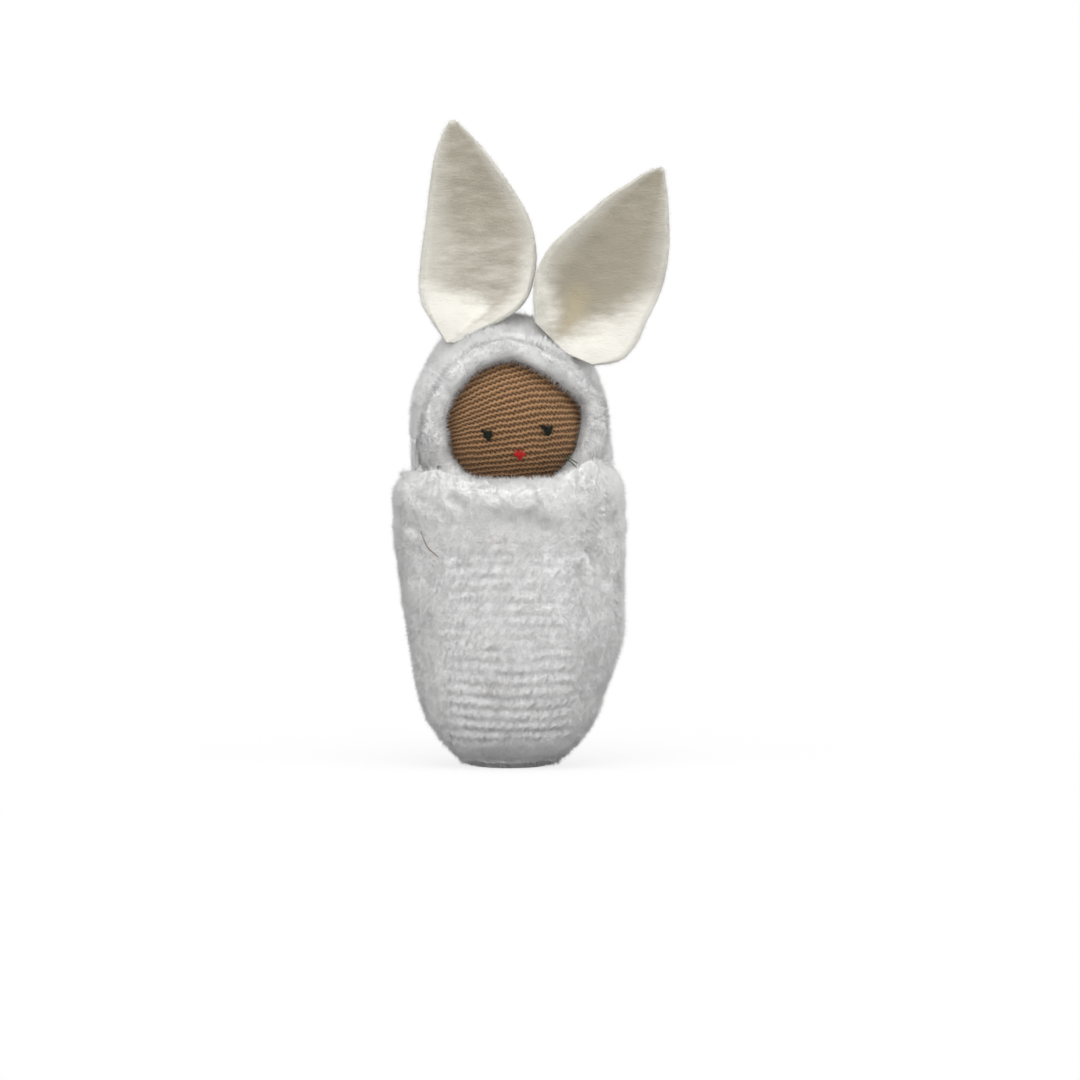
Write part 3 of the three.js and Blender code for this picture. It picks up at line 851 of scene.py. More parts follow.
@dataclass(frozen=True)
class Stuffing:
    """How the filling puffs a plush piece: spare cloth held at its seams and blown out."""

    voxel: float = 0.9
    pressure: float = 4.0
    spare: float = 0.05
    cap: float = 1.0
    frames: int = 20

    def puff(self, name: str, plain: bpy.types.Mesh, held: Mask) -> Piece:
        """Puff a copy of a plain mesh.

        Args:
            name: Name of the new piece.
            plain: The plain mesh.
            held: Where the cloth is held, as a share.

        Returns:
            The new piece, at its real size.
        """
        piece = link_object(name, plain.copy())
        piece.data.materials.clear()
        piece.data.transform(Matrix.Scale(SIM_SCALE, 4))
        even_mesh(piece, self.voxel * MM * SIM_SCALE)
        rest, normals = read_points(piece)
        self._blow(piece, held(rest / SIM_SCALE, normals))
        moved, _ = read_points(piece)
        step = moved - rest
        size = np.linalg.norm(step, axis=1, keepdims=True)
        most = self.cap * SIM_SCALE
        write_points(piece, rest + step * np.minimum(1, most / np.maximum(size, 1e-6)))
        piece.data.transform(Matrix.Scale(1 / SIM_SCALE, 4))
        smooth = piece.modifiers.new("even_skin", "SMOOTH")
        smooth.iterations = 4
        finer = piece.modifiers.new("finer", "SUBSURF")
        finer.levels = 1
        bake_modifiers(piece)
        piece.data.shade_smooth()
        return piece

    def _blow(self, piece: Piece, held: Values) -> None:
        """Run the cloth from its first frame to its last, and keep its form."""
        group = piece.vertex_groups.new(name="held")
        for weight in (0.25, 0.5, 0.75, 1.0):
            near = np.flatnonzero(np.abs(held - weight) <= 0.125)
            group.add([int(i) for i in near], weight, "REPLACE")
        cloth = piece.modifiers.new("cloth", "CLOTH")
        settings = cloth.settings
        settings.quality = 4
        settings.mass = 0.3
        settings.tension_stiffness = 12
        settings.compression_stiffness = 8
        settings.shear_stiffness = 5
        settings.bending_stiffness = 0.4
        settings.air_damping = 3
        settings.shrink_min = -self.spare
        settings.use_pressure = True
        settings.uniform_pressure_force = self.pressure
        settings.vertex_group_mass = "held"
        settings.effector_weights.gravity = 0
        cloth.collision_settings.use_collision = False
        cloth.point_cache.frame_end = self.frames
        for frame in range(1, self.frames + 1):
            bpy.context.scene.frame_set(frame)
        bake_modifiers(piece)
        bpy.context.scene.frame_set(1)


@dataclass(frozen=True)
class Crease:
    """A soft fold pressed into the front of a plush piece along a path of (across, up) places."""

    path: tuple[tuple[float, float], ...]
    depth: float
    width: float
    swell: float = 0.4
    run_out: float = 0.15
    least: float = 0.15

    STEPS: ClassVar[int] = 40
    FRONT: ClassVar[float] = -4.0

    def press(self, points: Points) -> Values:
        """How far each place is pressed in, with a low swell beside the fold."""
        gaps = gaps_seen(points, catmull_rom(self.path, np.linspace(0, 1, self.STEPS)))
        near = gaps.min(axis=1)
        end = np.argmin(gaps, axis=1) / (self.STEPS - 1)
        fade = smooth_step(0, self.run_out, end) * smooth_step(0, self.run_out, 1 - end)
        beside_it = np.exp(-((near / self.width - 2) ** 2))
        well = np.exp(-((near / self.width) ** 2)) - self.swell * beside_it
        return self.depth * well * np.maximum(fade, self.least) * (points[:, 1] < self.FRONT)


def sculpt(piece: Piece, settle: Shape, raise_by: Mask) -> None:
    """Let a cloth settle, move its points along their normals and store how far each is pressed in.

    Args:
        piece: The cloth.
        settle: Where places with normals come to lie.
        raise_by: Rise in millimetres at a place with a normal.
    """
    points, normals = read_points(piece)
    write_points(piece, settle(points, normals))
    points, normals = read_points(piece)
    rise = raise_by(points, normals)
    write_points(piece, points + normals * rise[:, None])
    # How far each point is pressed in, which the cloth's material turns into painted shade.
    paint(piece, "pressed", np.clip(-rise * PRESS_SHADE, 0, MOST_PRESSED))


@dataclass
class Sack:
    """The stuffed plush sack, smooth at its sides, with rows of parted tufts down its front."""

    nodes: dict[str, Piece]
    stuffing: Stuffing = Stuffing(voxel=1.0, pressure=3.0, spare=0.04, cap=0.5)
    slim: float = 0.75
    foot: float = 1.0
    floor_gap: float = 0.05
    seam: float = 57.0
    seam_round: Span = (57.5, 60.0)
    seam_tuck: float = 0.5
    pile: Pile = Pile(seed=11)
    fuzz: Pile = Pile(1.8, length=1.9, thickness=0.075, lean=0.6, stray=1.0, seed=13)
    base_round: Span = (0.3, 4.0)
    base_taper: Span = (14.0, 5.0)
    # Painted shade on the underside: where it begins, and where it is whole.
    base_grey: Span = (16.0, 2.0)
    panel_left: Span = (-18.5, -12.5)
    panel_right: Span = (12.0, 19.0)
    panel_low: Span = (4.5, 8.5)
    panel_high: Span = (53.0, 57.0)
    panel_wobble: Lumps = Lumps(((2.4, 4.5, 5), (1.2, 1.9, 6)))
    lumps: Lumps = Lumps(((0.28, 9.0, 21),))
    small_lumps: Lumps = Lumps(((0.15, 3.6, 22), (0.12, 1.7, 26)))
    grey_patches: Lumps = Lumps(((0.45, 6.0, 24), (0.2, 2.5, 25)))
    row_pitch: float = 3.0
    row_depth: float = 0.58
    row_sag: float = 0.0022
    row_middle: float = 1.0
    row_level: float = 30.0
    row_wander: float = 0.35
    deeper_rows: Span = (30.0, 12.0)
    parting: float = 2.1
    parting_depth: float = 0.14
    parting_slant: float = 0.45
    deeper_parting: Span = (30.0, 16.0)
    tuft_pitch: float = 1.45
    tuft_length: float = 2.1
    tuft_thickness: float = 0.15
    tuft_slant: float = 0.55
    tuft_lift: float = 0.32
    tuft_width: float = 0.16
    tuft_run: float = 0.45
    tuft_gather: float = 0.4
    tuft_fibres: int = 24
    tuft_seed: int = 31
    creases: tuple[Crease, ...] = (
        Crease(((20.0, 56.0), (23.0, 51.0), (24.5, 46.0)), 0.8, 1.6),
        Crease(((-24.0, 56.0), (-21.0, 50.0), (-19.0, 44.0)), 0.35, 1.8),
        Crease(((19.0, 33.0), (21.5, 27.0), (20.0, 20.0)), 0.45, 1.8),
    )

    PINK_MARKS: ClassVar[Knots] = (
        (-2.0, 58.2, 2.6), (-1.2, 55.0, 1.2), (-4.5, 21.5, 3.2), (-5.8, 27.0, 0.5),
    )
    PINKEST: ClassVar[float] = 0.4

    def panel(self, points: Points, normals: Points) -> Values:
        """Share of the parted front at each place."""
        wobble = self.panel_wobble.at(points)
        x, z = points[:, 0] + wobble, points[:, 2] + 0.5 * wobble
        across = smooth_step(*self.panel_left, x) * (1 - smooth_step(*self.panel_right, x))
        up = smooth_step(*self.panel_low, z) * (1 - smooth_step(*self.panel_high, z))
        return across * up * (normals[:, 1] < -0.2)

    def row_phase(self, points: Points) -> Values:
        """Row number at each place: rows sag a little below the level one, arch above it, and wander."""
        x, z = points[:, 0], points[:, 2]
        wander = self.row_wander * soft_noise(points * np.array([1, 1, 0.6]), 7.0, 8)
        sag = self.row_sag * (x - self.row_middle) ** 2 * np.sign(self.row_level - z)
        return (z - sag + wander) / self.row_pitch

    def held(self, points: Points, normals: Points) -> Values:
        """Hold the lining, the base and the seam under the collar."""
        inward = away_from_axis(points, normals) < 0
        low = points[:, 2] < self.foot
        return np.clip(inward + low + (points[:, 2] > self.seam), 0, 1).astype(float)

    def settle(self, points: Points, normals: Points) -> Points:
        """Let the top edge round in under the collar."""
        top = smooth_step(*self.seam_round, points[:, 2]) * (np.sum(points * normals, axis=1) > 0)
        return points - self.seam_tuck * unit(points * LEVEL) * top[:, None]

    def raise_by(self, points: Points, normals: Points) -> Values:
        """Rise of the cloth: lumps, tuft rows and folds, all set in by the pile's depth."""
        panel = self.panel(points, normals)
        rise = self.lumps.at(points) + (1 - 0.6 * panel) * self.small_lumps.at(points)
        groove = np.abs(np.cos(math.pi * self.row_phase(points))) ** 2.4
        slant = points[:, 0] - self.parting_slant * points[:, 2] + soft_noise(points, 3.0, 27)
        parted = np.cos(2 * math.pi * slant / self.parting)
        lower = 0.6 + 0.4 * smooth_step(*self.deeper_parting, points[:, 2])
        rise += panel * self.parting_depth * parted * lower * (1 - groove)
        uneven = 0.4 + 0.6 * soft_noise(points, 4.0, 23) + 0.5 * smooth_step(*self.deeper_rows, points[:, 2])
        rise -= panel * self.row_depth * groove * np.clip(uneven, 0.1, 1.2)
        for crease in self.creases:
            rise -= crease.press(points)
        base = smooth_step(*self.base_round, points[:, 2])
        outward = ramp(0.0, 6.0, away_from_axis(points, normals))
        slim = self.slim * outward * (1 + smooth_step(*self.base_taper, points[:, 2]))
        return rise * (0.15 + 0.85 * base) - slim

    def tufts(self, cloth: Piece) -> Strands:
        """Slanted tufts along the rows of the parted front.

        Args:
            cloth: The finished sack.

        Returns:
            The tufts' fibres.
        """
        random = np.random.default_rng(self.tuft_seed)
        points, normals = read_points(cloth)
        front = np.flatnonzero(self.panel(points, normals) > 0.3)
        phase = self.row_phase(points[front]) % 1.0
        crown = front[np.abs(phase - 0.5) < 0.2]
        random.shuffle(crown)
        taken: list[int] = []
        cells: set[tuple[int, int]] = set()
        for index in crown:
            x, z = points[index, 0], points[index, 2]
            cell = (int(x // self.tuft_pitch), int(z // (0.55 * self.row_pitch)))
            if cell not in cells:
                cells.add(cell)
                taken.append(int(index))
        at, out = points[taken], normals[taken]
        strong = np.clip(0.75 + 0.6 * soft_noise(at, 4.0, 33), 0.35, 1.2)
        across = self.tuft_slant + 0.25 * soft_noise(at, 3.0, 34)
        slant = np.stack([across, np.zeros(len(at)), np.ones(len(at))], axis=1)
        slant = unit(slant - out * np.sum(slant * out, axis=1, keepdims=True))
        side = np.cross(out, slant)
        tuft = (at, out, slant, side, strong)
        at, out, slant, side, strong = (np.repeat(rows, self.tuft_fibres, axis=0) for rows in tuft)
        count = len(at)
        offset = random.normal(size=(count, 2)) * np.array([self.tuft_width, self.tuft_run])
        roots = at + side * offset[:, :1] + slant * (offset[:, 1:] - 0.5)
        reach = (self.tuft_length * strong * (0.75 + 0.4 * random.random(count)))[:, None]
        tips = roots + reach * unit(slant + self.tuft_lift * out - self.tuft_gather * offset[:, :1] * side)
        shades = PLAIN_SHADES * random.random(count)
        return Strands(roots - ROOT_DEPTH * out, tips, out, self.tuft_thickness, shades)

    def grey(self, points: Points, normals: Points) -> Values:
        """Share of greyer fibres: patches at the sides, and painted shade in the pressed grooves and on the
        underside.
        """
        patches = np.clip(0.1 + self.grey_patches.at(points), 0, 1)
        # Painted shade: greyer fibres in the pressed grooves, and on the underside.
        groove = np.abs(np.cos(math.pi * self.row_phase(points))) ** 3
        panel = self.panel(points, normals)
        under = 0.8 * smooth_step(*self.base_grey, points[:, 2])
        return np.clip((1 - panel) * patches + 0.35 * panel * groove + under, 0, 0.9)

    @classmethod
    def pink(cls, points: Points, normals: Points) -> Values:
        """Share of fibres with a faint rubbed-off pink."""
        total = np.zeros(len(points))
        for x, z, size in cls.PINK_MARKS:
            total += np.exp(-(((points[:, 0] - x) / size) ** 2 + ((points[:, 2] - z) / (0.45 * size)) ** 2))
        return cls.PINKEST * np.clip(total, 0, 1) * (normals[:, 1] < 0)

    def build(self) -> Piece:
        """Build the sack, its pile and its tufts.

        Returns:
            The sack's cloth.
        """
        cloth = self.stuffing.puff("sack", self.nodes["bunting_sack"].data, self.held)
        sculpt(cloth, self.settle, self.raise_by)
        points, _ = read_points(cloth)
        points[:, 2] = np.maximum(points[:, 2], self.floor_gap)
        write_points(cloth, points)

        points, normals = read_points(cloth)
        share = (away_from_axis(points, normals) > -2) * smooth_step(-0.2, 2.0, points[:, 2])
        share = share * (1 - 0.5 * self.panel(points, normals))
        grey, pink = self.grey(points, normals), self.pink(points, normals)
        fibres = self.pile.grow("sack_pile", cloth, share, grey, pink)
        fibres += self.fuzz.grow("sack_fuzz", cloth, share)
        tufts = self.tufts(cloth).meshes("sack_tufts")
        dress(cloth, PLUSH_CLOTH, Body.BUNTING, Slot.PLUSH, "bunting_sack")
        dress_all(fibres, PLUSH_PILE, Body.BUNTING, Slot.PLUSH)
        dress_all(tufts, TUFT_PILE, Body.BUNTING, Slot.PLUSH)
        return cloth


@dataclass
class Collar:
    """The sack's folded top edge, a soft band under the chin."""

    nodes: dict[str, Piece]
    sack: Piece
    stuffing: Stuffing = Stuffing(voxel=0.8, pressure=3.0, spare=0.04, cap=0.4)
    pile: Pile = Pile(seed=41)
    fuzz: Pile = Pile(2.4, length=1.9, thickness=0.075, lean=0.6, stray=0.8, comb=(0.0, 0.0, 0.6), seed=43)
    slim: float = 1.7
    skirt: float = 6.0
    sack_shoulder: float = 56.0
    skirt_heights: Span = (64.5, 60.6)
    skirt_radius: float = 27.9
    skirt_tuck: float = 1.4
    skirt_tuck_depths: Span = (-12.0, -22.0)
    seam: float = 61.2
    lining: float = 26.6
    lining_depths: Span = (-14.0, -6.0)
    lean: float = 1.9
    lean_heights: Span = (68.5, 74.0)
    crest: float = 3.0
    crest_heights: Span = (66.0, 74.0)
    front: Span = (-8.0, -14.0)
    chin: float = 1.0
    chin_dip: float = 0.7
    chin_heights: Span = (69.0, 72.0)
    chin_width: Span = (15.0, 8.0)
    cheek: float = 18.0
    cheek_rise: float = 1.0
    cheek_heights: Span = (69.0, 73.0)
    cheek_width: float = 4.0
    slim_depths: Span = (-16.0, -8.0)
    slim_heights: Span = (59.0, 63.0)
    lumps: Lumps = Lumps(((0.30, 7.0, 51), (0.12, 3.0, 52)))
    small_lumps: Lumps = Lumps(((0.10, 1.7, 53),))
    grey_patches: Lumps = Lumps(((0.2, 6.0, 54), (0.15, 2.5, 55)))
    creases: tuple[Crease, ...] = (
        Crease(((-14.6, 69.2), (-12.5, 67.0), (-9.6, 65.6)), 0.55, 1.5),
        Crease(((-8.0, 64.4), (-2.0, 63.2), (5.0, 61.6), (11.0, 60.4)), 0.32, 1.9),
        Crease(((17.0, 71.0), (20.5, 67.0), (22.5, 62.0)), 0.3, 1.8),
        Crease(((-25.0, 70.0), (-20.0, 66.5), (-15.0, 64.0)), 0.4, 1.5),
    )

    def held(self, points: Points, normals: Points) -> Values:
        """Hold the lining and the seam on the sack."""
        inward = away_from_axis(points, normals) < 0
        return np.clip(inward + (points[:, 2] < self.seam), 0, 1).astype(float)

    def on_sack(self, points: Points, spread: Values) -> Points:
        """Lay places of the skirt on the sack, closer the further down, and the last just under its skin.

        Args:
            points: Places of the skirt.
            spread: Share of the way down the skirt.

        Returns:
            The places laid on the sack's outside.
        """
        tree = BVHTree.FromObject(self.sack, bpy.context.evaluated_depsgraph_get())
        laid = points.copy()
        for place, share in zip(laid, spread):
            out = Vector((place[0], place[1], 0.0)).normalized()
            start = Vector((0.0, 0.0, min(place[2], self.sack_shoulder))) + 60.0 * out
            hit = tree.ray_cast(start * MM, -out, 40.0 * MM)[0]
            if hit is not None:
                near = math.hypot(hit.x, hit.y) / MM + 0.9 * (1 - share) - 0.35 * share
                blend = min(1.0, max(0.0, (share - 0.1) / 0.5))
                place[:2] *= 1 - blend + blend * near / math.hypot(place[0], place[1])
        return laid

    def settle(self, points: Points, normals: Points) -> Points:
        """Let the skirt hang over the sack, the sides lean on the hood and the crest dip at the chin.

        Args:
            points: Places of the puffed band.
            normals: Its normals there.

        Returns:
            Where the places come to lie.
        """
        x, y, z = points.T
        ring = np.hypot(x, y)
        out = unit(points * LEVEL)
        under = (z < self.seam) * (np.sum(normals * out, axis=1) < 0.2) * smooth_step(*self.lining_depths, y)
        lean = self.lean * smooth_step(*self.lean_heights, z) * smooth_step(0.5, 0.85, np.abs(x) / ring)
        swell = smooth_step(*self.crest_heights, z) * smooth_step(0.5, 0.9, x / ring)
        settled = points - out * (lean + swell)[:, None]
        settled[:, 2] += self.crest * swell
        foot = self.skirt_radius - self.skirt_tuck * smooth_step(*self.skirt_tuck_depths, y)
        spread = smooth_step(*self.skirt_heights, z) * smooth_step(0.0, 1.0, ring - foot) * (1 - under)
        settled -= out * (under * np.maximum(ring - self.lining, 0))[:, None]
        settled[:, 2] -= self.skirt * spread
        hung = spread > 0.02
        settled[hung] = self.on_sack(settled[hung], spread[hung])
        front = smooth_step(*self.front, y)
        aside = np.abs(x - self.chin)
        by_chin = smooth_step(*self.chin_width, aside)
        by_cheek = np.exp(-(((aside - self.cheek) / self.cheek_width) ** 2))
        settled[:, 2] -= self.chin_dip * front * smooth_step(*self.chin_heights, z) * by_chin
        settled[:, 2] += self.cheek_rise * front * smooth_step(*self.cheek_heights, z) * by_cheek
        return settled

    def raise_by(self, points: Points, normals: Points) -> Values:
        """Rise of the band: lumps, folds, and slimmer sides."""
        calm = 1 - 0.6 * smooth_step(16, 8, np.abs(points[:, 0])) * (points[:, 1] < 0)
        rise = calm * self.lumps.at(points) + self.small_lumps.at(points)
        rise *= 0.25 + 0.75 * smooth_step(57, 63, points[:, 2])
        outward = away_from_axis(points, normals) > 0
        beside_front = smooth_step(*self.slim_depths, points[:, 1])
        rise -= self.slim * outward * beside_front * smooth_step(*self.slim_heights, points[:, 2])
        for crease in self.creases:
            rise -= crease.press(points)
        inner = np.hypot(points[:, 0], points[:, 1]) < 27.2
        return np.where(inner & (points[:, 1] > -20), np.minimum(rise, 0.1), rise)

    def build(self) -> None:
        """Build the collar and its pile."""
        cloth = self.stuffing.puff("collar", self.nodes["collar_fold"].data, self.held)
        sculpt(cloth, self.settle, self.raise_by)

        points, normals = read_points(cloth)
        away = away_from_axis(points, normals) / np.hypot(points[:, 0], points[:, 1])
        share = (away > -0.25) * (normals[:, 2] > -0.8) * 1.0
        share *= 1 - 0.5 * smooth_step(64, 60, points[:, 2]) * smooth_step(-6, -14, points[:, 1])
        grey = np.clip(self.grey_patches.at(points), 0, 0.9)
        # Painted shade: greyer fibres along the creases.
        for crease in self.creases:
            grey += 0.15 * np.clip(crease.press(points), 0, 1)
        fibres = self.pile.grow("collar_pile", cloth, share, grey, Sack.pink(points, normals))
        fibres += self.fuzz.grow("collar_fuzz", cloth, share)
        dress(cloth, PLUSH_CLOTH, Body.BUNTING, Slot.PLUSH, "collar_fold")
        dress_all(fibres, PLUSH_PILE, Body.BUNTING, Slot.PLUSH)


@dataclass
class HoodEdge:
    """Course of the hood's rolled front edge."""

    radius: float = 22.5
    angles: Knots = (
        (-54.0, -26.96), (-51.4, -12.84), (-49.92, 2.55), (-41.05, 23.02), (-25.45, 39.13), (-1.86, 46.79),
        (23.5, 40.0), (45.5, 26.2), (61.5, 12.0), (63.0, -6.64), (61.35, -26.96),
    )
    tails: Knots = ((-47.0, -44.0), (56.0, -44.0))
    roll: float = 2.6
    full_ends: float = 0.9

    def course(self, radius: float, outward: float, shares: Values, whole: bool = False) -> Points:
        """Places along the edge.

        Args:
            radius: Distance from the head's centre.
            outward: How far outside the edge's middle, seen from the front.
            shares: Where along the edge, from 0 to 1.
            whole: Whether the tails that run down behind the collar count.

        Returns:
            One place for each share.
        """
        angles = (self.tails[0], *self.angles, self.tails[1]) if whole else self.angles
        knots = [(on_ball(self.radius, side, up) - HEAD_CENTRE)[[0, 2]] for side, up in angles]
        flat = catmull_rom(knots, shares)
        along = unit(catmull_rom(knots, shares + 1e-4) - catmull_rom(knots, shares - 1e-4))
        flat = flat + outward * np.stack([-along[:, 1], along[:, 0]], axis=1)
        depth = -np.sqrt(np.maximum(radius**2 - np.sum(flat**2, axis=1), 1))
        return HEAD_CENTRE + np.stack([flat[:, 0], depth, flat[:, 1]], axis=1)

    def tube(self) -> Piece:
        """Plain rolled edge, tails and all, fuller outwards near its lower ends."""
        shares = np.linspace(0.002, 0.998, 160)
        fuller = self.full_ends * (smooth_step(0.3, 0.12, shares) + smooth_step(0.7, 0.88, shares))
        path = self.course(self.radius, 0.0, shares, whole=True)
        path += fuller[:, None] * (self.course(self.radius, 1.0, shares, whole=True) - path)
        along = unit(np.gradient(path, axis=0))
        out = unit(path - HEAD_CENTRE)
        first = unit(out - along * np.sum(out * along, axis=1, keepdims=True))
        points, faces = tube(path, first, np.cross(along, first), self.roll + fuller, sides=20)
        return add_mesh("plain_roll", points, faces)


@dataclass
class Hood:
    """The plush hood with its rolled front edge."""

    nodes: dict[str, Piece]
    ears: Sequence["Ear"]
    edge: HoodEdge = field(default_factory=HoodEdge)
    stuffing: Stuffing = Stuffing(voxel=0.9, pressure=3.0, spare=0.04, cap=0.4)
    roll_stuffing: Stuffing = Stuffing(voxel=0.6, pressure=3.0, spare=0.05, cap=0.5)
    pile: Pile = Pile(seed=61, swirl=1.1, comb=(0.0, 0.2, -0.7))
    fuzz: Pile = Pile(2.2, length=1.8, thickness=0.075, lean=0.6, stray=1.0, comb=(0.0, 0.3, 0.2), seed=63)
    roll_pile: Pile = Pile(11.0, length=1.5, seed=71, comb=(0.0, -0.2, 0.3))
    roll_fuzz: Pile = Pile(2.5, 1.7, thickness=0.08, lean=0.35, stray=1.0, comb=(0.0, -0.5, 0.0), seed=73)
    seat_pile: Pile = Pile(16.0, length=2.4, lean=0.5, stray=0.4, comb=(0.0, -0.4, 1.0), seed=75)
    seat_reach: float = 2.6
    slim: float = 1.5
    hem: float = 76.0
    hem_sag: float = 2.7
    sag_heights: Span = (83.0, 76.5)
    sag_depths: Span = (-5.0, -10.0)
    tuck: float = 2.2
    left_tuck: float = 1.6
    tuck_heights: Span = (84.0, 80.0)
    tuck_depths: Span = (-8.5, -12.0)
    flare: float = 1.3
    flare_height: float = 77.0
    flare_reach: float = 5.0
    flare_side: Span = (14.0, 24.0)
    crown: Span = (98.0, 107.0)
    swell_radius: float = 25.4
    swell_outward: float = 4.0
    swell_reach: float = 2.4
    lumps: Lumps = Lumps(((0.30, 8.0, 81), (0.12, 3.0, 82), (0.12, 1.7, 83)))
    grey_patches: Lumps = Lumps(((0.3, 6.0, 86), (0.2, 2.5, 87)))
    roll_puffs: Lumps = Lumps(((0.25, 4.0, 84), (0.15, 1.8, 85)))

    def held(self, points: Points, normals: Points) -> Values:
        """Hold the lining and the hem."""
        inward = np.sum((points - HEAD_CENTRE) * normals, axis=1) < 0
        return np.clip(inward + (points[:, 2] < self.hem), 0, 1).astype(float)

    @staticmethod
    def free(points: Points, normals: Points) -> Values:
        """Hold nothing."""
        return np.zeros(len(points))

    def settle(self, points: Points, normals: Points) -> Points:
        """Let the front hem sag, its corners tuck behind the roll and its right side flare out."""
        x, y, z = points.T
        settled = points.copy()
        tuck = self.tuck + self.left_tuck * smooth_step(2.0, -2.0, x)
        settled[:, 1] += tuck * smooth_step(*self.tuck_heights, z) * smooth_step(*self.tuck_depths, y)
        settled[:, 2] -= self.hem_sag * smooth_step(*self.sag_heights, z) * smooth_step(*self.sag_depths, y)
        flared = np.exp(-(((z - self.flare_height) / self.flare_reach) ** 2))
        settled[:, 0] += self.flare * flared * smooth_step(*self.flare_side, x)
        return settled

    def raise_by(self, points: Points, normals: Points) -> Values:
        """Rise of the hood: lumps, and a swell behind the roll, all set in by the pile's depth."""
        outward = away_from_head(points, normals) > 0.3
        slim = self.slim * outward * (1 - 0.8 * smooth_step(*self.crown, points[:, 2]))
        rise = self.lumps.at(points) - slim
        line = self.edge.course(self.swell_radius, self.swell_outward, np.linspace(0, 1, 60))
        gap = np.linalg.norm(points[:, None] - line[None], axis=2).min(axis=1)
        low_right = smooth_step(88, 79, points[:, 2]) * smooth_step(8, 14, points[:, 0])
        rise += (1.0 + 0.6 * low_right) * np.exp(-((gap / self.swell_reach) ** 2))
        low = smooth_step(78, 74, points[:, 2])
        return np.where(low > 0, np.minimum(rise, 0.2 + (1 - low) * rise), rise)

    def seated(self, points: Points) -> Values:
        """Share of the plush that stands up over the ears' feet, just below their front edges."""
        total = np.zeros(len(points))
        for ear in self.ears:
            gaps = gaps_seen(points, ear.form.foot_edge())
            total += np.exp(-((gaps.min(axis=1) / self.seat_reach) ** 2))
        return np.clip(total, 0, 1) * smooth_step(-4, -8, points[:, 1])

    def roll_rise(self, points: Points, normals: Points) -> Values:
        """Rise of the rolled edge: puffs along it."""
        return self.roll_puffs.at(points)

    def build(self) -> None:
        """Build the hood, its rolled edge and their pile."""
        cloth = self.stuffing.puff("hood_cloth", self.nodes["hood"].data, self.held)
        sculpt(cloth, self.settle, self.raise_by)

        points, normals = read_points(cloth)
        share = smooth_step(-0.3, 0.1, away_from_head(points, normals))
        share = share * smooth_step(71.0, 73.5, points[:, 2])
        grey = np.clip(self.grey_patches.at(points), 0, 0.9)
        fibres = self.pile.grow("hood_pile", cloth, share, grey)
        fibres += self.fuzz.grow("hood_fuzz", cloth, share)
        fibres += self.seat_pile.grow("hood_seat_pile", cloth, share * self.seated(points))
        dress(cloth, PLUSH_CLOTH, Body.HEAD, Slot.PLUSH, "hood")

        plain = self.edge.tube()
        roll = self.roll_stuffing.puff("hood_roll", plain.data, self.free)
        bpy.data.objects.remove(plain)
        sculpt(roll, lambda points, normals: points, self.roll_rise)

        points, normals = read_points(roll)
        share = smooth_step(-0.8, -0.4, away_from_head(points, normals))
        left = smooth_step(-8.0, -15.0, points[:, 0])
        # Painted shade: the roll's fibres greyer all over, more so on the left, with random patches.
        grey = np.clip(0.35 + 0.3 * left + 0.7 * soft_noise(points, 3.0, 88), 0, 0.9)
        fibres += self.roll_fuzz.grow("hood_roll_fuzz", roll, share)
        dress(roll, PLUSH_CLOTH, Body.HEAD, Slot.PLUSH, "hood_edge")
        dress_all(fibres, PLUSH_PILE, Body.HEAD, Slot.PLUSH)
        dress_all(self.roll_pile.grow("hood_roll_pile", roll, share, grey), SHADED_ROLL_PILE, Body.HEAD, Slot.PLUSH)


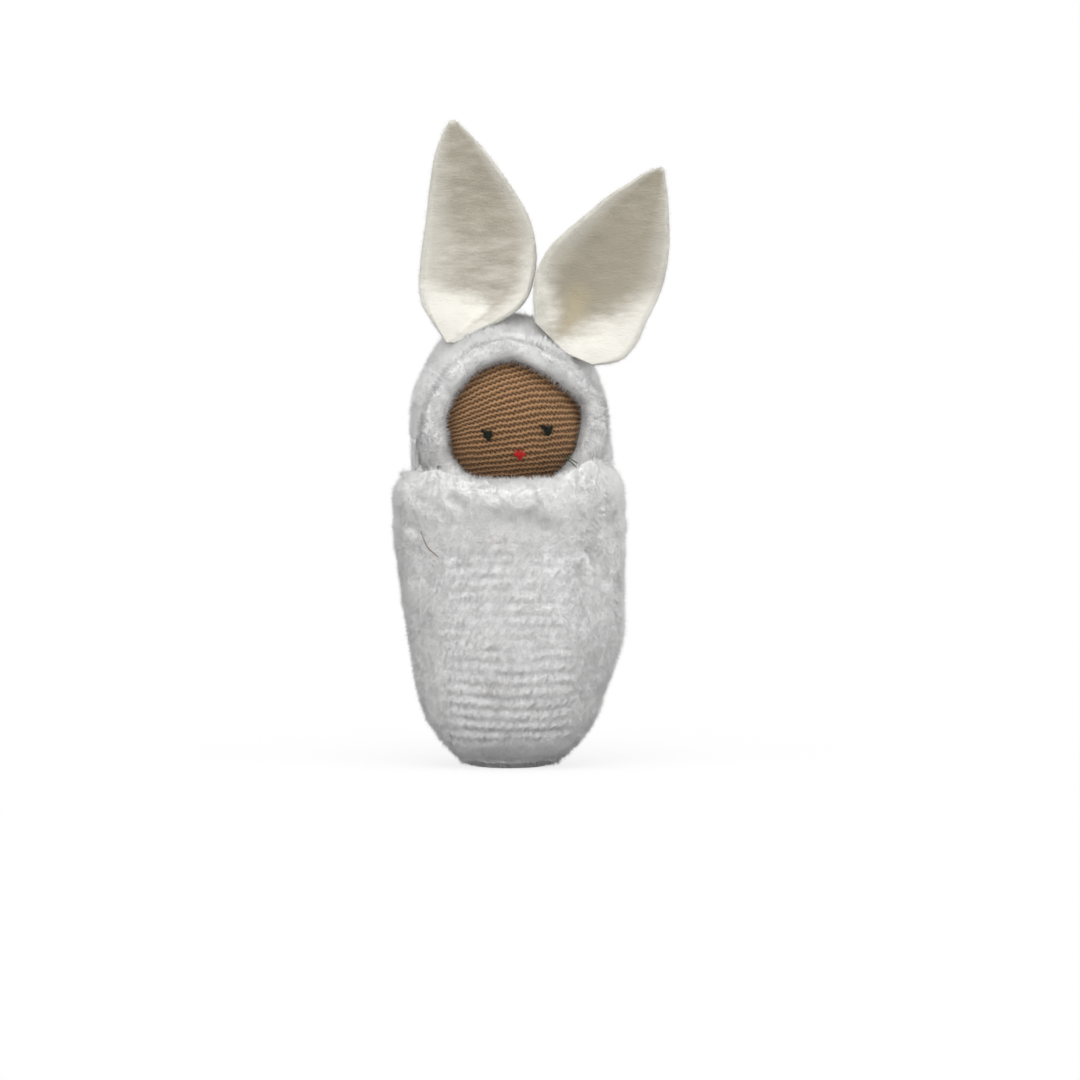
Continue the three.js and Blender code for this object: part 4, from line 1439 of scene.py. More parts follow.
@dataclass
class Face:
    """The knit head: a ball with its purl rows in relief, gathered to a neck below."""

    radius: float = 20.0
    neck_radius: float = 6.5
    neck_length: float = 6.0
    row_pitch: float = 1.61
    stitch_pitch: float = 1.15
    tilt: float = math.radians(6.5)
    arch: float = 6.0
    arch_across: float = 6.5
    arch_width: float = 12.0
    arch_heights: Span = (-9.0, 13.0)
    relief: float = 0.28
    ridge_width: float = 0.17
    ridge_share: float = 0.7
    hole_share: float = 1.3
    set_in: float = 0.7
    shown: Span = (0.1, 0.3)
    swell: Lumps = Lumps(((0.25, 9.0, 91),))
    first_row: int = 40
    first_stitch: int = 100
    fine_side: float = 80.0
    fine_low: float = -48.0
    fine_high: float = 62.0
    uneven: Lumps = Lumps(((0.14, 2.6, 93), (0.11, 0.9, 94)))

    def rows(self, points: Points) -> tuple[Values, Values]:
        """Row and stitch numbers of the knit.

        Args:
            points: Places about the head's centre.

        Returns:
            The row number and the stitch number at each place.
        """
        x = points[:, 0]
        height = self.radius * np.arcsin(np.clip(points[:, 2] / self.radius, -1, 1))
        level = height - math.tan(self.tilt) * x
        drop = self.arch * (np.hypot(1, (x - self.arch_across) / self.arch_width) - 1)
        row = level
        for _ in range(5):
            row = level + drop * smooth_step(*self.arch_heights, row)
        row = row / self.row_pitch + self.first_row + self.uneven.at(points)
        ring = np.sqrt(np.maximum(self.radius**2 - points[:, 2] ** 2, 9))
        round_ring = ring * np.arctan2(x, -points[:, 1])
        shift = 0.5 * np.floor(row) + 0.2 * soft_noise(points, 1.8, 95)
        return row, round_ring / self.stitch_pitch + self.first_stitch + shift

    def directions(self) -> tuple[Points, int]:
        """Directions over the ball in rows from the neck up, close together on the face.

        Returns:
            The directions, and how many make a row.
        """
        sides = np.radians(np.concatenate([
            np.linspace(-180, -self.fine_side, 16, endpoint=False),
            np.linspace(-self.fine_side, self.fine_side, 400),
            np.linspace(self.fine_side, 180, 17)[1:-1],
        ]))
        foot = math.degrees(math.asin(self.neck_radius / self.radius)) - 90
        ups = np.radians(np.concatenate([
            np.linspace(foot, self.fine_low, 12, endpoint=False),
            np.linspace(self.fine_low, self.fine_high, 330),
            np.linspace(self.fine_high, 89.6, 14)[1:],
        ]))
        a, b = np.meshgrid(sides, ups)
        out = np.stack([np.cos(b) * np.sin(a), -np.cos(b) * np.cos(a), np.sin(b)], axis=-1)
        return out.reshape(-1, 3), len(sides)

    def rise(self, out: Points, row: Values, stitch: Values) -> Values:
        """How far the knit stands out of the ball: ridges, stitch holes and a slow swell, in front.

        Args:
            out: Directions from the head's centre.
            row: Row number of the knit in each direction.
            stitch: Stitch number of the knit in each direction.

        Returns:
            One rise for each direction.
        """
        turn = 2 * math.pi * stitch
        part = (row + ROW_WAVE * np.sin(turn)) % 1.0
        crest = np.exp(-(((part - 0.5) / self.ridge_width) ** 2)) * (0.78 + 0.22 * np.cos(turn))
        hole = (0.5 + 0.5 * np.sin(turn + HOLE_PHASE)) ** HOLE_SHARPNESS
        groove = (np.exp(-((part / HOLE_WIDTH) ** 2)) + np.exp(-(((1 - part) / HOLE_WIDTH) ** 2))) * hole
        relief = self.relief * (self.ridge_share * crest - self.hole_share * groove - self.set_in)
        return smooth_step(*self.shown, -out[:, 1]) * (relief + self.swell.at(self.radius * out))

    def build(self) -> None:
        """Build the knit head."""
        out, columns = self.directions()
        ball = self.radius * out
        row, stitch = self.rows(ball)
        skin = ball + out * self.rise(out, row, stitch)[:, None]
        foot = -self.radius - self.neck_length
        neck = skin[:columns].copy()
        neck[:, 2] = foot
        points = np.vstack([neck, skin, [[0, 0, foot], [0, 0, self.radius]]])
        faces = capped_faces(len(skin) // columns + 1, columns)
        head = add_mesh("knit_head", points + HEAD_CENTRE, faces)
        paint(head, "row", np.concatenate([row[:columns], row, [0, row[-1]]]))
        paint(head, "stitch", np.concatenate([stitch[:columns], stitch, [0, 0]]))
        dress(head, KNIT, Body.HEAD, Slot.KNIT, "head_skin")


@dataclass(frozen=True)
class Yarn:
    """A plied thread swept along a path."""

    diameter: float
    plies: int = 2
    lay: float = 1.6

    def spin(self, paths: Sequence[Points]) -> tuple[Points, np.ndarray]:
        """Spin the yarn along paths.

        Args:
            paths: Places along each length of yarn, close together.

        Returns:
            Points and triangles of the plies.
        """
        points: list[Points] = []
        faces: list[np.ndarray] = []
        start = 0
        for path in paths:
            for ply in range(self.plies):
                rings, tris = self._ply(np.asarray(path, float), ply)
                points.append(rings)
                faces.append(tris + start)
                start += len(rings)
        return np.vstack(points), np.vstack(faces)

    def _ply(self, path: Points, ply: int) -> tuple[Points, np.ndarray]:
        """One ply round a path, closed at both ends."""
        along = unit(np.gradient(path, axis=0))
        lift = np.where(np.abs(along[:, 2:]) < 0.9, [[0, 0, 1.0]], [[1.0, 0, 0]])
        first = unit(np.cross(along, lift))
        second = np.cross(along, first)
        run = np.concatenate([[0], np.cumsum(np.linalg.norm(np.diff(path, axis=0), axis=1))])
        turn = 2 * math.pi * (run / self.lay + ply / self.plies)
        radius = 0.5 * self.diameter / (1 + math.sin(math.pi / self.plies)) if self.plies > 1 else 0.0
        size = 0.5 * self.diameter - radius
        middle = path + radius * (np.cos(turn)[:, None] * first + np.sin(turn)[:, None] * second)
        taper = np.minimum(1, 0.55 + np.minimum(run, run[-1] - run) / self.diameter)
        return tube(middle, first, second, size * taper, sides=6)


@dataclass(frozen=True)
class Feature:
    """A stitched feature: its degrees to the side and up, and its stitches.

    A stitch is both of its ends, (across, up, across, up) in millimetres from the feature's place.
    """

    node: str
    yarn: Yarn
    finish: Finish
    slot: Slot
    side: float
    up: float
    stitches: Knots


EYE_YARN = Yarn(0.74, 2, 1.4)
MOUTH_YARN = Yarn(0.72, 2, 1.4)
LEFT_EYE = Feature(
    "eye_left", EYE_YARN, DARK_THREAD, Slot.DARK_THREAD, -14.57, -11.65,
    ((-1.65, 1.15, 0.0, 0.45), (-0.95, 0.8, -0.3, -1.0), (-0.45, 0.85, -0.05, -1.4), (0.1, 0.9, 0.1, -1.45),
     (0.6, 0.9, 0.25, -1.2), (0.95, 0.8, 0.5, -0.6)),
)
RIGHT_EYE = Feature(
    "eye_right", EYE_YARN, DARK_THREAD, Slot.DARK_THREAD, 28.24, -8.5,
    ((-1.5, 1.2, -0.1, 0.6), (-1.0, 0.65, 0.0, -0.9), (-0.45, 0.75, 0.25, -1.2), (0.15, 0.85, 0.45, -1.25),
     (0.75, 0.9, 0.6, -1.0), (1.3, 1.1, 0.6, -0.2)),
)
MOUTH = Feature(
    "mouth", MOUTH_YARN, RED_THREAD, Slot.RED_THREAD, 8.49, -25.69,
    ((-1.35, 0.15, 0.15, -0.55), (-0.75, 0.95, 0.1, -1.5), (0.0, 0.8, 0.2, -1.75), (0.6, 0.95, 0.3, -1.4),
     (1.4, 0.25, 0.25, -0.6)),
)


@dataclass
class FaceStitches:
    """Eyes and mouth in a few straight stitches, and a loose thread end at the jaw."""

    radius: float = 20.15
    bow: float = 0.35
    layer: float = 0.06
    sunk: float = 0.75
    features: tuple[Feature, ...] = (LEFT_EYE, RIGHT_EYE, MOUTH)
    end_yarn: Yarn = Yarn(0.3, 1)
    ends: tuple[Knots, ...] = (
        ((13.4, -11.4, 77.6), (15.0, -12.2, 76.5), (16.6, -12.5, 75.0)),
        ((14.2, -11.5, 77.5), (15.7, -12.3, 76.7), (17.0, -12.5, 75.9)),
    )

    def stitch(self, feature: Feature) -> list[Points]:
        """Straight stitches round a place on the face.

        Args:
            feature: What is stitched.

        Returns:
            A path for each stitch, sunk into the knit at both ends.
        """
        middle = on_ball(self.radius, feature.side, feature.up) - HEAD_CENTRE
        across = unit(np.cross([0, 0, 1.0], -middle))
        rise = unit(np.cross(across, -middle))
        if rise[2] < 0:
            rise = -rise
        if across[0] < 0:
            across = -across
        paths = []
        for number, (x0, z0, x1, z1) in enumerate(feature.stitches):
            share = np.linspace(0, 1, 14)[:, None]
            flat = middle + across * (x0 + (x1 - x0) * share) + rise * (z0 + (z1 - z0) * share)
            bow = self.bow + self.layer * number - self.sunk * (2 * share - 1) ** 4
            paths.append(HEAD_CENTRE + unit(flat) * (self.radius + bow))
        return paths

    def build(self) -> None:
        """Build the stitches."""
        for feature in self.features:
            points, faces = feature.yarn.spin(self.stitch(feature))
            piece = add_mesh(f"{feature.node}_stitches", points, faces)
            dress(piece, feature.finish, Body.HEAD, feature.slot, feature.node)
        points, faces = self.end_yarn.spin([catmull_rom(knots, np.linspace(0, 1, 24)) for knots in self.ends])
        end = add_mesh("loose_thread_end", points, faces)
        dress(end, GREEN_THREAD, Body.HEAD, Slot.DARK_THREAD, "thread_end")


@dataclass
class Seams:
    """Sewing threads: the hood's edge and hem, the collar's seam, the neck tie and the ears' tacks."""

    edge: HoodEdge = field(default_factory=HoodEdge)
    edge_stitches: int = 34
    edge_inner: float = 23.0
    edge_outer: float = 24.4
    edge_outward: float = 2.9
    hem_inset: float = 0.45
    hem_turn: float = 1.85
    seam_wave: float = 0.15
    seam_sunk: float = 2.1
    tack_reach: float = 1.5
    tack_depth: float = 0.4
    left_tilt: float = 20.0
    right_tilt: float = -30.0

    @staticmethod
    def ring(node: str, thread: float, wave: float, sunk: float = 0.0) -> Points:
        """Closed path of a thread ring, lying where a node is, with a slight wave."""
        low, high = node_box(node)
        radius = (high[0] - low[0]) / 2 - thread / 2 - sunk
        angle = np.linspace(0, 2 * math.pi, 241)
        middle = (low + high) / 2
        x, y = middle[0] + radius * np.cos(angle), middle[1] + radius * np.sin(angle)
        return np.stack([x, y, middle[2] + wave * np.sin(angle * 24)], axis=1)

    def build(self) -> None:
        """Build the threads."""
        shares = np.linspace(0.14, 0.86, 420)
        rise = 0.5 + 0.5 * np.sin(shares * 2 * math.pi * self.edge_stitches) - smooth_step(0.42, 0.55, shares)
        inner = self.edge.course(self.edge_inner, self.edge_outward, shares)
        outer = self.edge.course(self.edge_outer, self.edge_outward, shares)
        running = inner + (outer - inner) * rise[:, None]
        low, high = node_box("hood_gather_thread")
        radius = (high[0] - low[0]) / 2 - self.hem_inset
        angle = np.linspace(-self.hem_turn, self.hem_turn, 160)
        height = np.full(len(angle), (low[2] + high[2]) / 2)
        hem = np.stack([radius * np.sin(angle), radius * np.cos(angle), height], axis=1)
        seam = self.ring("collar_seam_thread", 0.8, self.seam_wave, self.seam_sunk)
        threads = [
            ("hood_edge_stitching", "hood_edge_thread", Yarn(0.6), Body.HEAD, running),
            ("hood_hem_gathering", "hood_gather_thread", Yarn(0.85), Body.HEAD, hem),
            ("collar_seam", "collar_seam_thread", Yarn(0.8), Body.BUNTING, seam),
            ("neck_winding", "neck_tie", Yarn(1.0, 3, 2.2), Body.HEAD, self.ring("neck_tie", 1.0, 0.0)),
        ]
        for side, tilt in (("left", self.left_tilt), ("right", self.right_tilt)):
            slope = np.array([math.cos(math.radians(tilt)), 0.0, math.sin(math.radians(tilt))])
            for hand in ("outer", "inner"):
                node = f"ear_{side}_tack_{hand}"
                middle = sum(node_box(node)) / 2
                out = unit(middle - HEAD_CENTRE)
                along = unit(slope - out * np.dot(slope, out))
                share = np.linspace(-1, 1, 16)[:, None]
                sunk = self.tack_depth + self.tack_depth * share**2
                path = middle + self.tack_reach * share * along - sunk * out
                threads.append((f"ear_{side}_{hand}_tacking", node, Yarn(0.5), Body.HEAD, path))
        for name, node, yarn, body, path in threads:
            points, faces = yarn.spin([path])
            finish = WHITE_THREAD if name.startswith("ear") else PALE_THREAD
            dress(add_mesh(name, points, faces), finish, body, Slot.PALE_THREAD, node)


def even_curve(knots: Knots, shares: Values) -> Points:
    """Spline through knots, read at even steps of its length."""
    dense = catmull_rom(knots, np.linspace(0, 1, 600))
    run = np.concatenate([[0], np.cumsum(np.linalg.norm(np.diff(dense, axis=0), axis=1))])
    return np.stack([np.interp(shares * run[-1], run, dense[:, k]) for k in range(dense.shape[1])], axis=1)


def beside(points: Points, start: Sequence[float], end: Sequence[float]) -> Values:
    """Distance from a straight line seen from the front, positive on its left."""
    run = unit(np.subtract(end, start))
    away = points[:, [0, 2]] - np.asarray(start)
    return run[0] * away[:, 1] - run[1] * away[:, 0]


def even_knots(values: Sequence[float], shares: Values) -> Values:
    """Smooth value through knots at even shares from 0 to 1."""
    return catmull_rom([(value,) for value in values], shares)[:, 0]


@dataclass(frozen=True)
class EarForm:
    """Form of a felt ear from its seat on the hood, foot to tip.

    Its edges and its crease are (across, up) courses seen from the front. ``back`` is how far the crease lies
    behind the seat, and the two forward runs are how far each edge stands in front of the crease, all at even
    steps of the length. ``top`` is where the ear is free of the hood.
    """

    seat: tuple[float, float, float]
    top: tuple[float, float, float]
    left: Knots
    right: Knots
    crease: Knots
    back: tuple[float, ...]
    left_forward: tuple[float, ...]
    right_forward: tuple[float, ...]

    @property
    def seated(self) -> tuple[tuple[Knots, float], ...]:
        """The runs of its edge that lie on the hood, each with the share of it that does."""
        return ((self.left, 0.15), (self.right, 0.3), ((self.left[0], self.crease[0], self.right[0]), 1.0))

    def foot_edge(self) -> Points:
        """Places along the ear's lower edge, seen from the front."""
        lower = [catmull_rom(edge, np.linspace(0, share, 30)) for edge, share in self.seated]
        return np.vstack(lower) + np.array(self.seat)[[0, 2]]

    def leaf(self, t: Values, s: Values) -> Points:
        """Middle of the felt.

        Args:
            t: Shares from foot to tip.
            s: Places from -1 at the left edge to 1 at the right edge.

        Returns:
            One place for each pair.
        """
        opened = 0.10 + 0.55 * smooth_step(0.05, 0.6, t)
        bend = np.hypot(s, opened)
        whole = 1 + np.hypot(1, opened)
        to_right, to_left = (bend + s) / whole, (bend - s) / whole
        crease = even_curve(self.crease, t)
        seen = crease + (even_curve(self.right, t) - crease) * to_right[:, None]
        seen += (even_curve(self.left, t) - crease) * to_left[:, None]
        ahead = even_knots(self.left_forward, t) * to_left + even_knots(self.right_forward, t) * to_right
        return np.stack([seen[:, 0], even_knots(self.back, t) - ahead, seen[:, 1]], axis=1) + self.seat


@dataclass
class Ear:
    """One felt ear: a leaf pinched at its foot, its hollow forward."""

    name: str
    node: str
    body: Body
    form: EarForm
    seed: int
    flat: tuple[float, float] = (32.4, 54.5)
    flat_area: float = 1130.0
    felt: float = 1.6
    tip: float = 0.992
    rows: int = 170
    columns: int = 84
    fuzz: Pile = Pile(density=4.0, length=0.45, thickness=0.06, lean=0.75, swirl=1.5)
    feather: Pile = Pile(20.0, length=0.85, thickness=0.06, lean=0.3, swirl=1.5, comb=(0.0, -0.6, 0.0))

    def bright(self, points: Points, t: Values, s: Values) -> Values:
        """Share of painted light at each place, where the felt is drawn paler."""
        raise NotImplementedError

    def hollow_shade(self, points: Points) -> Values:
        """Share of painted shade, warm and darker, at each place."""
        return np.zeros(len(points))

    def thicken(self, middle: Points, normal: Points, rim: Values) -> Piece:
        """Make the felt from its middle.

        Args:
            middle: Places on the felt's middle, in rows from foot to tip.
            normal: The way to the felt's front at each.
            rim: How near the edge each is, from 0 to 1.

        Returns:
            The felt, its front first, thinner at the rim.
        """
        thick = 0.5 * self.felt * (1 - 0.7 * smooth_step(0.93, 1.0, rim))
        front, back = middle + normal * thick[:, None], middle - normal * thick[:, None]
        count = len(middle)
        quads = grid_faces(self.rows, self.columns, wrap=False)
        border = np.concatenate([
            np.arange(self.columns), np.arange(2, self.rows + 1) * self.columns - 1,
            np.arange(self.rows * self.columns - 2, (self.rows - 1) * self.columns - 1, -1),
            np.arange(self.rows - 2, 0, -1) * self.columns,
        ])
        after = np.roll(border, -1)
        side = np.stack([after, border, border + count, after + count], axis=1)
        return add_mesh(self.name, np.vstack([front, back]), np.vstack([quads, quads[:, ::-1] + count, side]))

    def build(self) -> None:
        """Build the ear and its fuzz."""
        steps = (np.linspace(0, self.tip, self.rows), np.linspace(-1, 1, self.columns))
        t, s = (values.ravel() for values in np.meshgrid(*steps, indexing="ij"))
        middle = self.form.leaf(t, s)
        lumps = 0.25 * soft_noise(middle, 6.0, self.seed) + 0.12 * soft_noise(middle, 2.4, self.seed + 1)
        grid = middle.reshape(self.rows, self.columns, 3)
        normal = unit(np.cross(np.gradient(grid, axis=1), np.gradient(grid, axis=0))).reshape(-1, 3)
        middle = middle + normal * lumps[:, None]
        rim = np.maximum(np.abs(s), smooth_step(0.93, self.tip, t))
        ear = self.thicken(middle, normal, rim)
        count = len(middle)
        # Painted light on the front, by each ear, and on the back, stronger towards the foot.
        bright = np.concatenate([self.bright(middle, t, s), 0.4 + 0.45 * smooth_step(0.45, 0.2, t)])
        # A paler rim: partly the felt's cut edge, partly a painted highlight.
        edge = np.tile(0.65 * smooth_step(0.45, 1.0, rim) + 0.35 * smooth_step(0.85, 1.0, rim), 2)
        # Stored for the material: the painted shade as 'along', the pale rim, and the painted shade of the
        # hollow.
        paint(ear, "along", 1 - bright)
        paint(ear, "edge", edge)
        paint(ear, "hollow_shade", np.concatenate([self.hollow_shade(middle), np.zeros(count)]))
        fuzz, feather = replace(self.fuzz, seed=self.seed + 5), replace(self.feather, seed=self.seed + 6)
        # Fuzz tinted to the lit felt where the painted light or the pale rim is.
        pale = np.maximum(bright, 0.6 * edge)
        fibres = fuzz.grow(f"{self.name}_fuzz", ear, np.ones(2 * count), tinted=pale)
        rims = np.concatenate([smooth_step(0.9, 1.0, rim), np.zeros(count)])
        feathers = feather.grow(f"{self.name}_feather", ear, rims)
        finishes = [FELT, *(FELT_FUZZ for _ in fibres), *(FELT_FEATHER for _ in feathers)]
        fibres += feathers
        for piece, finish in zip([ear, *fibres], finishes):
            piece.data.materials.append(finish.material())
            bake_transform(piece)
            LOG.info("%s on %s: %d faces", piece.name, self.body.value, len(piece.data.polygons))
        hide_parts(self.node)


@dataclass
class LeftEar(Ear):
    """The upright ear on the left, its right edge rolled forward above the hood."""

    name: str = "felt_ear_left"
    node: str = "ear_left"
    body: Body = Body.LEFT_EAR
    form: EarForm = EarForm(
        seat=(-7.0, -12.5, 108.577), top=(-7.8, -10.8, 115.4),
        left=((-8.3, -3.0), (-12.2, 2.7), (-14.8, 8.2), (-15.2, 15.5), (-14.2, 28.0), (-11.9, 42.0),
              (-8.8, 49.6), (-7.0, 52.0)),
        right=((-6.3, -3.0), (-2.1, -1.2), (5.3, 2.5), (10.3, 5.9), (13.2, 10.3), (15.0, 17.5), (14.4, 25.0),
               (11.6, 31.5), (3.4, 42.6), (-4.8, 50.7), (-7.0, 52.0)),
        crease=((-7.3, -3.0), (-2.6, 2.2), (2.4, 7.7), (4.6, 12.6), (4.6, 20.0), (2.6, 28.9), (-0.8, 38.8),
                (-7.0, 52.0)),
        back=(0.0, 1.5, 4.2, 5.8, 6.0, 5.3, 3.7, 2.1, 0.6),
        left_forward=(0.0, 2.4, 4.5, 5.0, 4.0, 3.0, 2.0, 1.0, 0.0),
        right_forward=(0.0, 2.0, 4.5, 5.5, 4.5, 3.0, 2.0, 1.0, 0.0),
    )
    seed: int = 101
    # Bounds of the painted light: a line along its top, a line at its foot, and a span across.
    lit_top: Knots = ((-21.8, 121.0), (-8.0, 117.3))
    lit_foot: Knots = ((-11.9, 107.0), (-4.6, 112.6))
    lit_side: Span = (4.0, -7.0)

    def bright(self, points: Points, t: Values, s: Values) -> Values:
        """Painted light low on its left, up to its crease, along its rolled right edge, and fairly so half
        way up.
        """
        low = ramp(4.5, -3.5, beside(points, *self.lit_top))
        low = low * ramp(-2.0, 1.6, beside(points, *self.lit_foot)) * ramp(*self.lit_side, points[:, 0])
        band = ramp(-0.45, 0.35, s - 0.05 - 0.4 * smooth_step(0.05, 0.3, t)) * smooth_step(0.7, 0.3, t)
        half = 0.22 + 0.15 * smooth_step(0.62, 0.35, t)
        return np.maximum(np.maximum(low, 0.68 * band), half)


@dataclass
class RightEar(Ear):
    """The leaning ear on the right, in front of the left one, its left edge rolled forward."""

    name: str = "felt_ear_right"
    node: str = "ear_right"
    body: Body = Body.RIGHT_EAR
    form: EarForm = EarForm(
        seat=(13.7, -14.0, 103.944), top=(17.2, -12.5, 109.9),
        left=((-7.2, 6.8), (-7.6, 13.5), (-6.7, 19.9), (-2.2, 27.8), (7.4, 36.4), (15.0, 40.9), (20.0, 43.6),
              (24.4, 44.8)),
        right=((7.4, -4.0), (13.8, -2.8), (17.7, 1.1), (20.5, 6.3), (24.7, 14.7), (26.3, 24.0), (25.9, 34.5),
               (25.2, 40.0), (24.4, 44.8)),
        crease=((0.0, -1.0), (0.6, 2.6), (3.2, 8.6), (5.7, 15.2), (9.2, 23.6), (14.6, 33.0), (24.4, 44.8)),
        back=(-0.2, 1.8, 4.3, 5.2, 4.8, 3.6, 2.0, 0.5, -1.0),
        left_forward=(0.5, 4.0, 6.5, 7.0, 5.5, 3.5, 2.0, 1.0, 0.0),
        right_forward=(0.5, 3.0, 5.0, 5.0, 4.0, 3.0, 2.0, 1.0, 0.0),
    )
    seed: int = 111
    # Bounds of the painted light on the lobe and the band, and the line and reach of the painted shade in the
    # hollow.
    lobe_top: Knots = ((14.0, 107.2), (35.3, 115.5))
    band_side: Knots = ((14.0, 107.2), (9.0, 127.0))
    band_heights: Span = (138.0, 118.0)
    hollow: Knots = ((14.3, 108.0), (17.0, 117.0))
    hollow_reach: float = 3.3

    def bright(self, points: Points, t: Values, s: Values) -> Values:
        """Painted light on the lobe low on its right, and on the rolled band left of its hollow."""
        lobe = ramp(5.5, -4.0, beside(points, *self.lobe_top))
        band = ramp(-2.6, 2.4, beside(points, *self.band_side))
        band = 0.6 * band * smooth_step(*self.band_heights, points[:, 2])
        top = 0.1 * smooth_step(0.4, 0.8, t)
        return np.maximum(np.maximum(lobe, band), top)

    def hollow_shade(self, points: Points) -> Values:
        """Painted shade, warm and darker, at the hollow's narrow foot."""
        run = np.array(self.hollow)
        line = run[:1] + np.linspace(0, 1, 12)[:, None] * (run[1:] - run[:1])
        return np.exp(-((gaps_seen(points, line).min(axis=1) / self.hollow_reach) ** 2))


@dataclass
class Filling:
    """What the doll is filled with: stuffing, neck roving, and the wound ball in its gauze."""

    nodes: dict[str, Piece]
    strands: Pile = Pile(9.0, length=1.9, thickness=0.1, lean=0.8, stray=0.9, comb=(0.0, 0.0, 0.2), seed=131)
    rim: float = 69.0
    rim_squeeze: float = 0.35
    front_dip: float = 2.0
    roll_dip: float = 6.0
    roll_reach: float = 6.0
    chin_gap: float = 21.8
    roll_feet: Knots = ((-11.8, -10.0), (13.4, -8.2))

    def dip(self, points: Points) -> Values:
        """How far the neck's rim dips in front, and where the hood's roll comes down in a nod."""
        gaps = np.linalg.norm(points[:, None, :2] - np.array(self.roll_feet)[None], axis=2)
        by_roll = np.exp(-((gaps.min(axis=1) / self.roll_reach) ** 2))
        return self.front_dip * smooth_step(0, -8, points[:, 1]) + self.roll_dip * by_roll

    def rough_up(self, wool: Piece) -> None:
        """Grow loose strands on the neck's wool, where it shows and clear of the head."""
        points, normals = read_points(wool)
        clear = np.linalg.norm(points - HEAD_CENTRE, axis=1) > self.chin_gap
        outward = away_from_axis(points, normals) > -3
        share = clear * outward * smooth_step(60, 64, points[:, 2])
        dress_all(self.strands.grow("neck_wool_strands", wool, share), WOOL_STRAND, Body.NECK, Slot.WOOL)

    def build(self) -> None:
        """Build the fillings."""
        sets = (("wool_stuffing", "body_stuffing", CARDED_WOOL, Body.BUNTING, Slot.WOOL, 0.15, 1.5),
                ("neck_wool", "neck_roving", CARDED_WOOL, Body.NECK, Slot.WOOL, 0.3, 0.8),
                ("head_gauze_wrap", "head_gauze", GAUZE, Body.HEAD, Slot.GAUZE, 0.05, 0.5),
                ("wound_wool_ball", "head_core", CARDED_WOOL, Body.HEAD, Slot.WOOL, 0.12, 1.0))
        for name, node, finish, body, slot, depth, voxel in sets:
            piece = link_object(name, self.nodes[node].data.copy())
            even_mesh(piece, voxel * MM)
            points, normals = read_points(piece)
            rise = depth * (soft_noise(points, 2.5, 121) - 1)
            points = points + normals * rise[:, None]
            if body is Body.NECK:
                rim = self.rim + 0.8 * soft_noise(points, 4.0, 122) - self.dip(points)
                over = np.maximum(points[:, 2] - rim, 0)
                points[:, 2] = np.minimum(points[:, 2], rim + self.rim_squeeze * over)
            write_points(piece, points)
            piece.data.shade_smooth()
            if body is Body.NECK:
                self.rough_up(piece)
            dress(piece, finish, body, slot, node)


@dataclass
class Lint:
    """A stray brown hair caught on the plush."""

    knots: tuple[tuple[float, float], ...] = ((-21.6, 59.4), (-20.9, 57.6), (-19.6, 55.2), (-17.2, 53.2))
    thickness: float = 0.22

    def build(self, cloth: Piece) -> None:
        """Lay the hair on the front of a cloth."""
        path = catmull_rom(self.knots, np.linspace(0, 1, 40))
        points, _ = read_points(cloth)
        front = points[points[:, 1] < 0]
        gaps = np.linalg.norm(front[None, :, [0, 2]] - path[:, None], axis=2)
        near = np.argsort(gaps, axis=1)[:, :6]
        depth = front[near, 1].min(axis=1) - 1.0
        smooth = np.convolve(np.pad(depth, 4, mode="edge"), np.ones(9) / 9, mode="valid")
        laid = np.stack([path[:, 0], smooth, path[:, 1]], axis=1)
        hair, faces = Yarn(self.thickness, 1).spin([laid])
        dress(add_mesh("stray_hair", hair, faces), BROWN_HAIR, Body.BUNTING, Slot.DARK_THREAD)


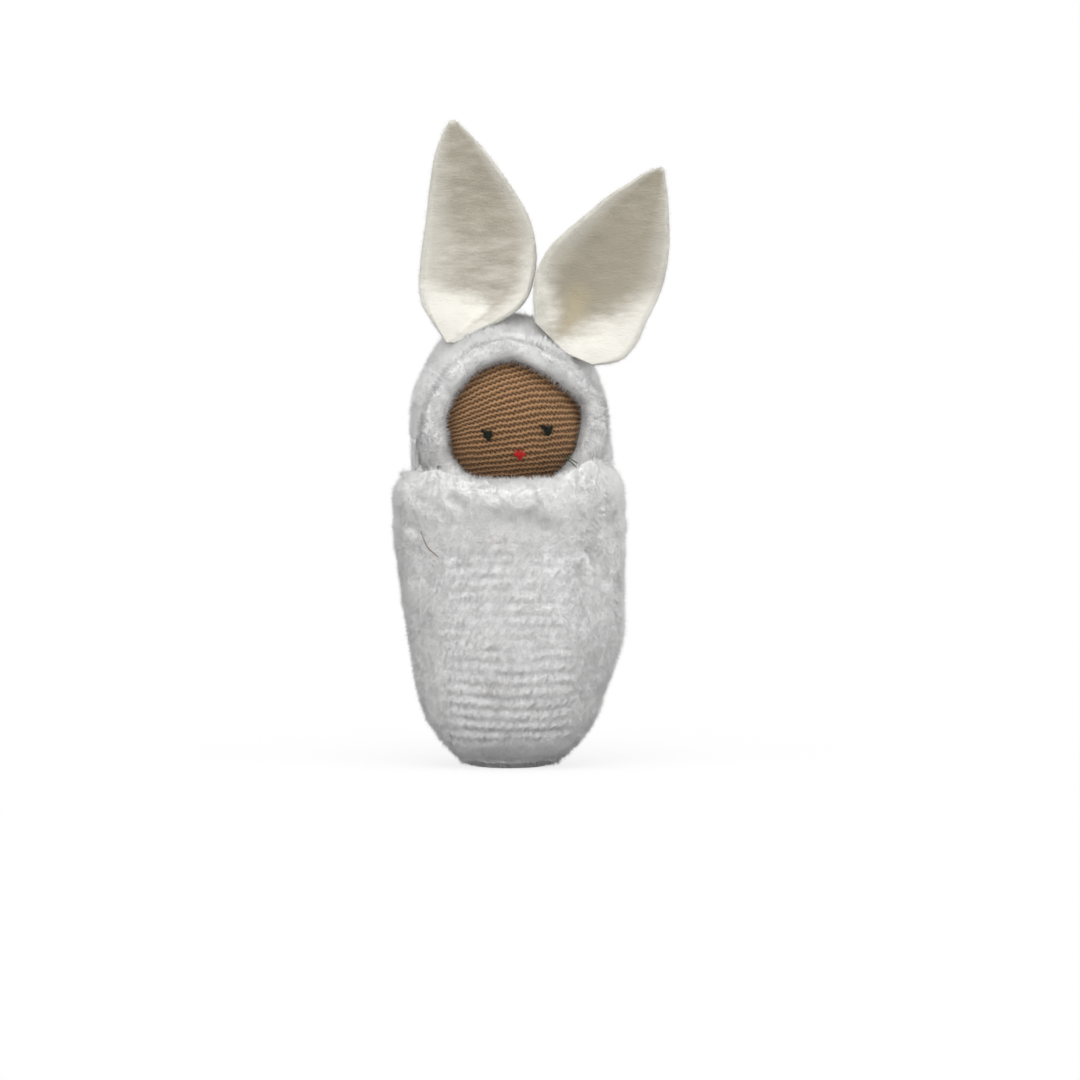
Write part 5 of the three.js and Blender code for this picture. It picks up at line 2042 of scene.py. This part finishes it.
@dataclass
class Studio:
    """Pale floor, soft light and the camera."""

    frame_width: float = 270.0
    aim: tuple[float, float, float] = (7.75, 0.0, 56.5)
    distance: float = 1000.0
    elevation: float = math.radians(2.0)
    sensor: float = 36.0
    ambient: float = 0.70
    lamp_aim: tuple[float, float, float] = (0.0, 0.0, 80.0)
    floor_side: float = 4000.0
    fade_start: float = 30.0
    fade_end: float = 160.0

    def camera(self) -> None:
        """Stand the camera in front of the doll."""
        data = bpy.data.cameras.new("front_camera")
        data.sensor_width = self.sensor
        data.sensor_fit = "HORIZONTAL"
        data.lens = self.sensor * self.distance / self.frame_width
        data.clip_end = 50.0
        camera = link_object("front_camera", data)
        away = self.distance * np.array([0, -math.cos(self.elevation), math.sin(self.elevation)])
        camera.location = (np.array(self.aim) + away) * MM
        camera.rotation_euler = (math.pi / 2 - self.elevation, 0, 0)
        bpy.context.scene.camera = camera

    def lamp(self, name: str, place: tuple[float, float, float], size: float, power: float) -> None:
        """Hang a soft square lamp that faces the doll."""
        data = bpy.data.lights.new(name, "AREA")
        data.size = size * MM
        data.energy = power
        lamp = link_object(name, data)
        at = np.array(place)
        aim = np.array(self.lamp_aim) - at
        lamp.location = at * MM
        turn = math.atan2(aim[1], aim[0]) - math.pi / 2
        drop = math.atan2(aim[2], math.hypot(aim[0], aim[1]))
        lamp.rotation_euler = (math.pi / 2 + drop, 0, turn)

    def floor(self) -> None:
        """Lay a pale floor that fades to white and keeps the shadow."""
        side = self.floor_side
        corners = np.array([[-side, -side, 0], [side, -side, 0], [side, side, 0], [-side, side, 0]])
        floor = add_mesh("floor", corners, np.array([[0, 1, 2, 3]]))
        graph = ShaderGraph(bpy.data.materials.new("pale_floor"))
        white = graph.node("ShaderNodeEmission", None, {"Color": (1.0, 1.0, 1.0), "Strength": 1.0})
        seen = graph.in_sight()
        paper = graph.node("ShaderNodeBsdfDiffuse", None,
                           {"Color": graph.mix(seen, (0.35, 0.35, 0.35), (0.92, 0.92, 0.92))})
        reach = graph.node("ShaderNodeVectorMath", {"operation": "LENGTH"}, {0: graph.place()})
        fade = Field(graph, reach.outputs["Value"]).ease(self.fade_start * MM, self.fade_end * MM)
        share = seen * (0.8 + 0.2 * fade)
        mixed = graph.node("ShaderNodeMixShader", None, {0: share, 1: paper.outputs[0], 2: white.outputs[0]})
        graph.node("ShaderNodeOutputMaterial", None, {"Surface": mixed.outputs[0]})
        floor.data.materials.append(graph.owner)

    def world(self) -> None:
        """Light all round, white where the camera sees it."""
        world = bpy.data.worlds.new("studio")
        bpy.context.scene.world = world
        graph = ShaderGraph(world)
        soft = graph.node("ShaderNodeBackground", None, {"Color": (1.0, 1.0, 1.0), "Strength": self.ambient})
        white = graph.node("ShaderNodeBackground", None, {"Color": (1.0, 1.0, 1.0), "Strength": 1.0})
        shades = {0: graph.in_sight(), 1: soft.outputs[0], 2: white.outputs[0]}
        mixed = graph.node("ShaderNodeMixShader", None, shades)
        graph.node("ShaderNodeOutputWorld", None, {"Surface": mixed.outputs[0]})

    def build(self) -> None:
        """Build the stage."""
        bpy.context.scene.view_settings.view_transform = "Standard"
        self.camera()
        self.floor()
        self.world()
        self.lamp("overhead_lamp", (0, -380, 620), 420, 1.75)
        self.lamp("front_lamp", (40, -800, 110), 500, 1.6)
        self.lamp("left_lamp", (-650, -300, 200), 500, 1.9)
        self.lamp("right_lamp", (650, -300, 200), 500, 2.1)


def main() -> None:
    """Dress the frame, piece by piece."""
    logging.basicConfig(level=logging.INFO, format="%(message)s")
    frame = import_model()
    nodes = frame["nodes"]
    Studio().build()
    sack = Sack(nodes).build()
    Collar(nodes, sack).build()
    ears = (LeftEar(), RightEar())
    Hood(nodes, ears).build()
    Face().build()
    FaceStitches().build()
    Seams().build()
    for ear in ears:
        ear.build()
    Filling(nodes).build()
    Lint().build(sack)


if __name__ == "__main__":
    main()
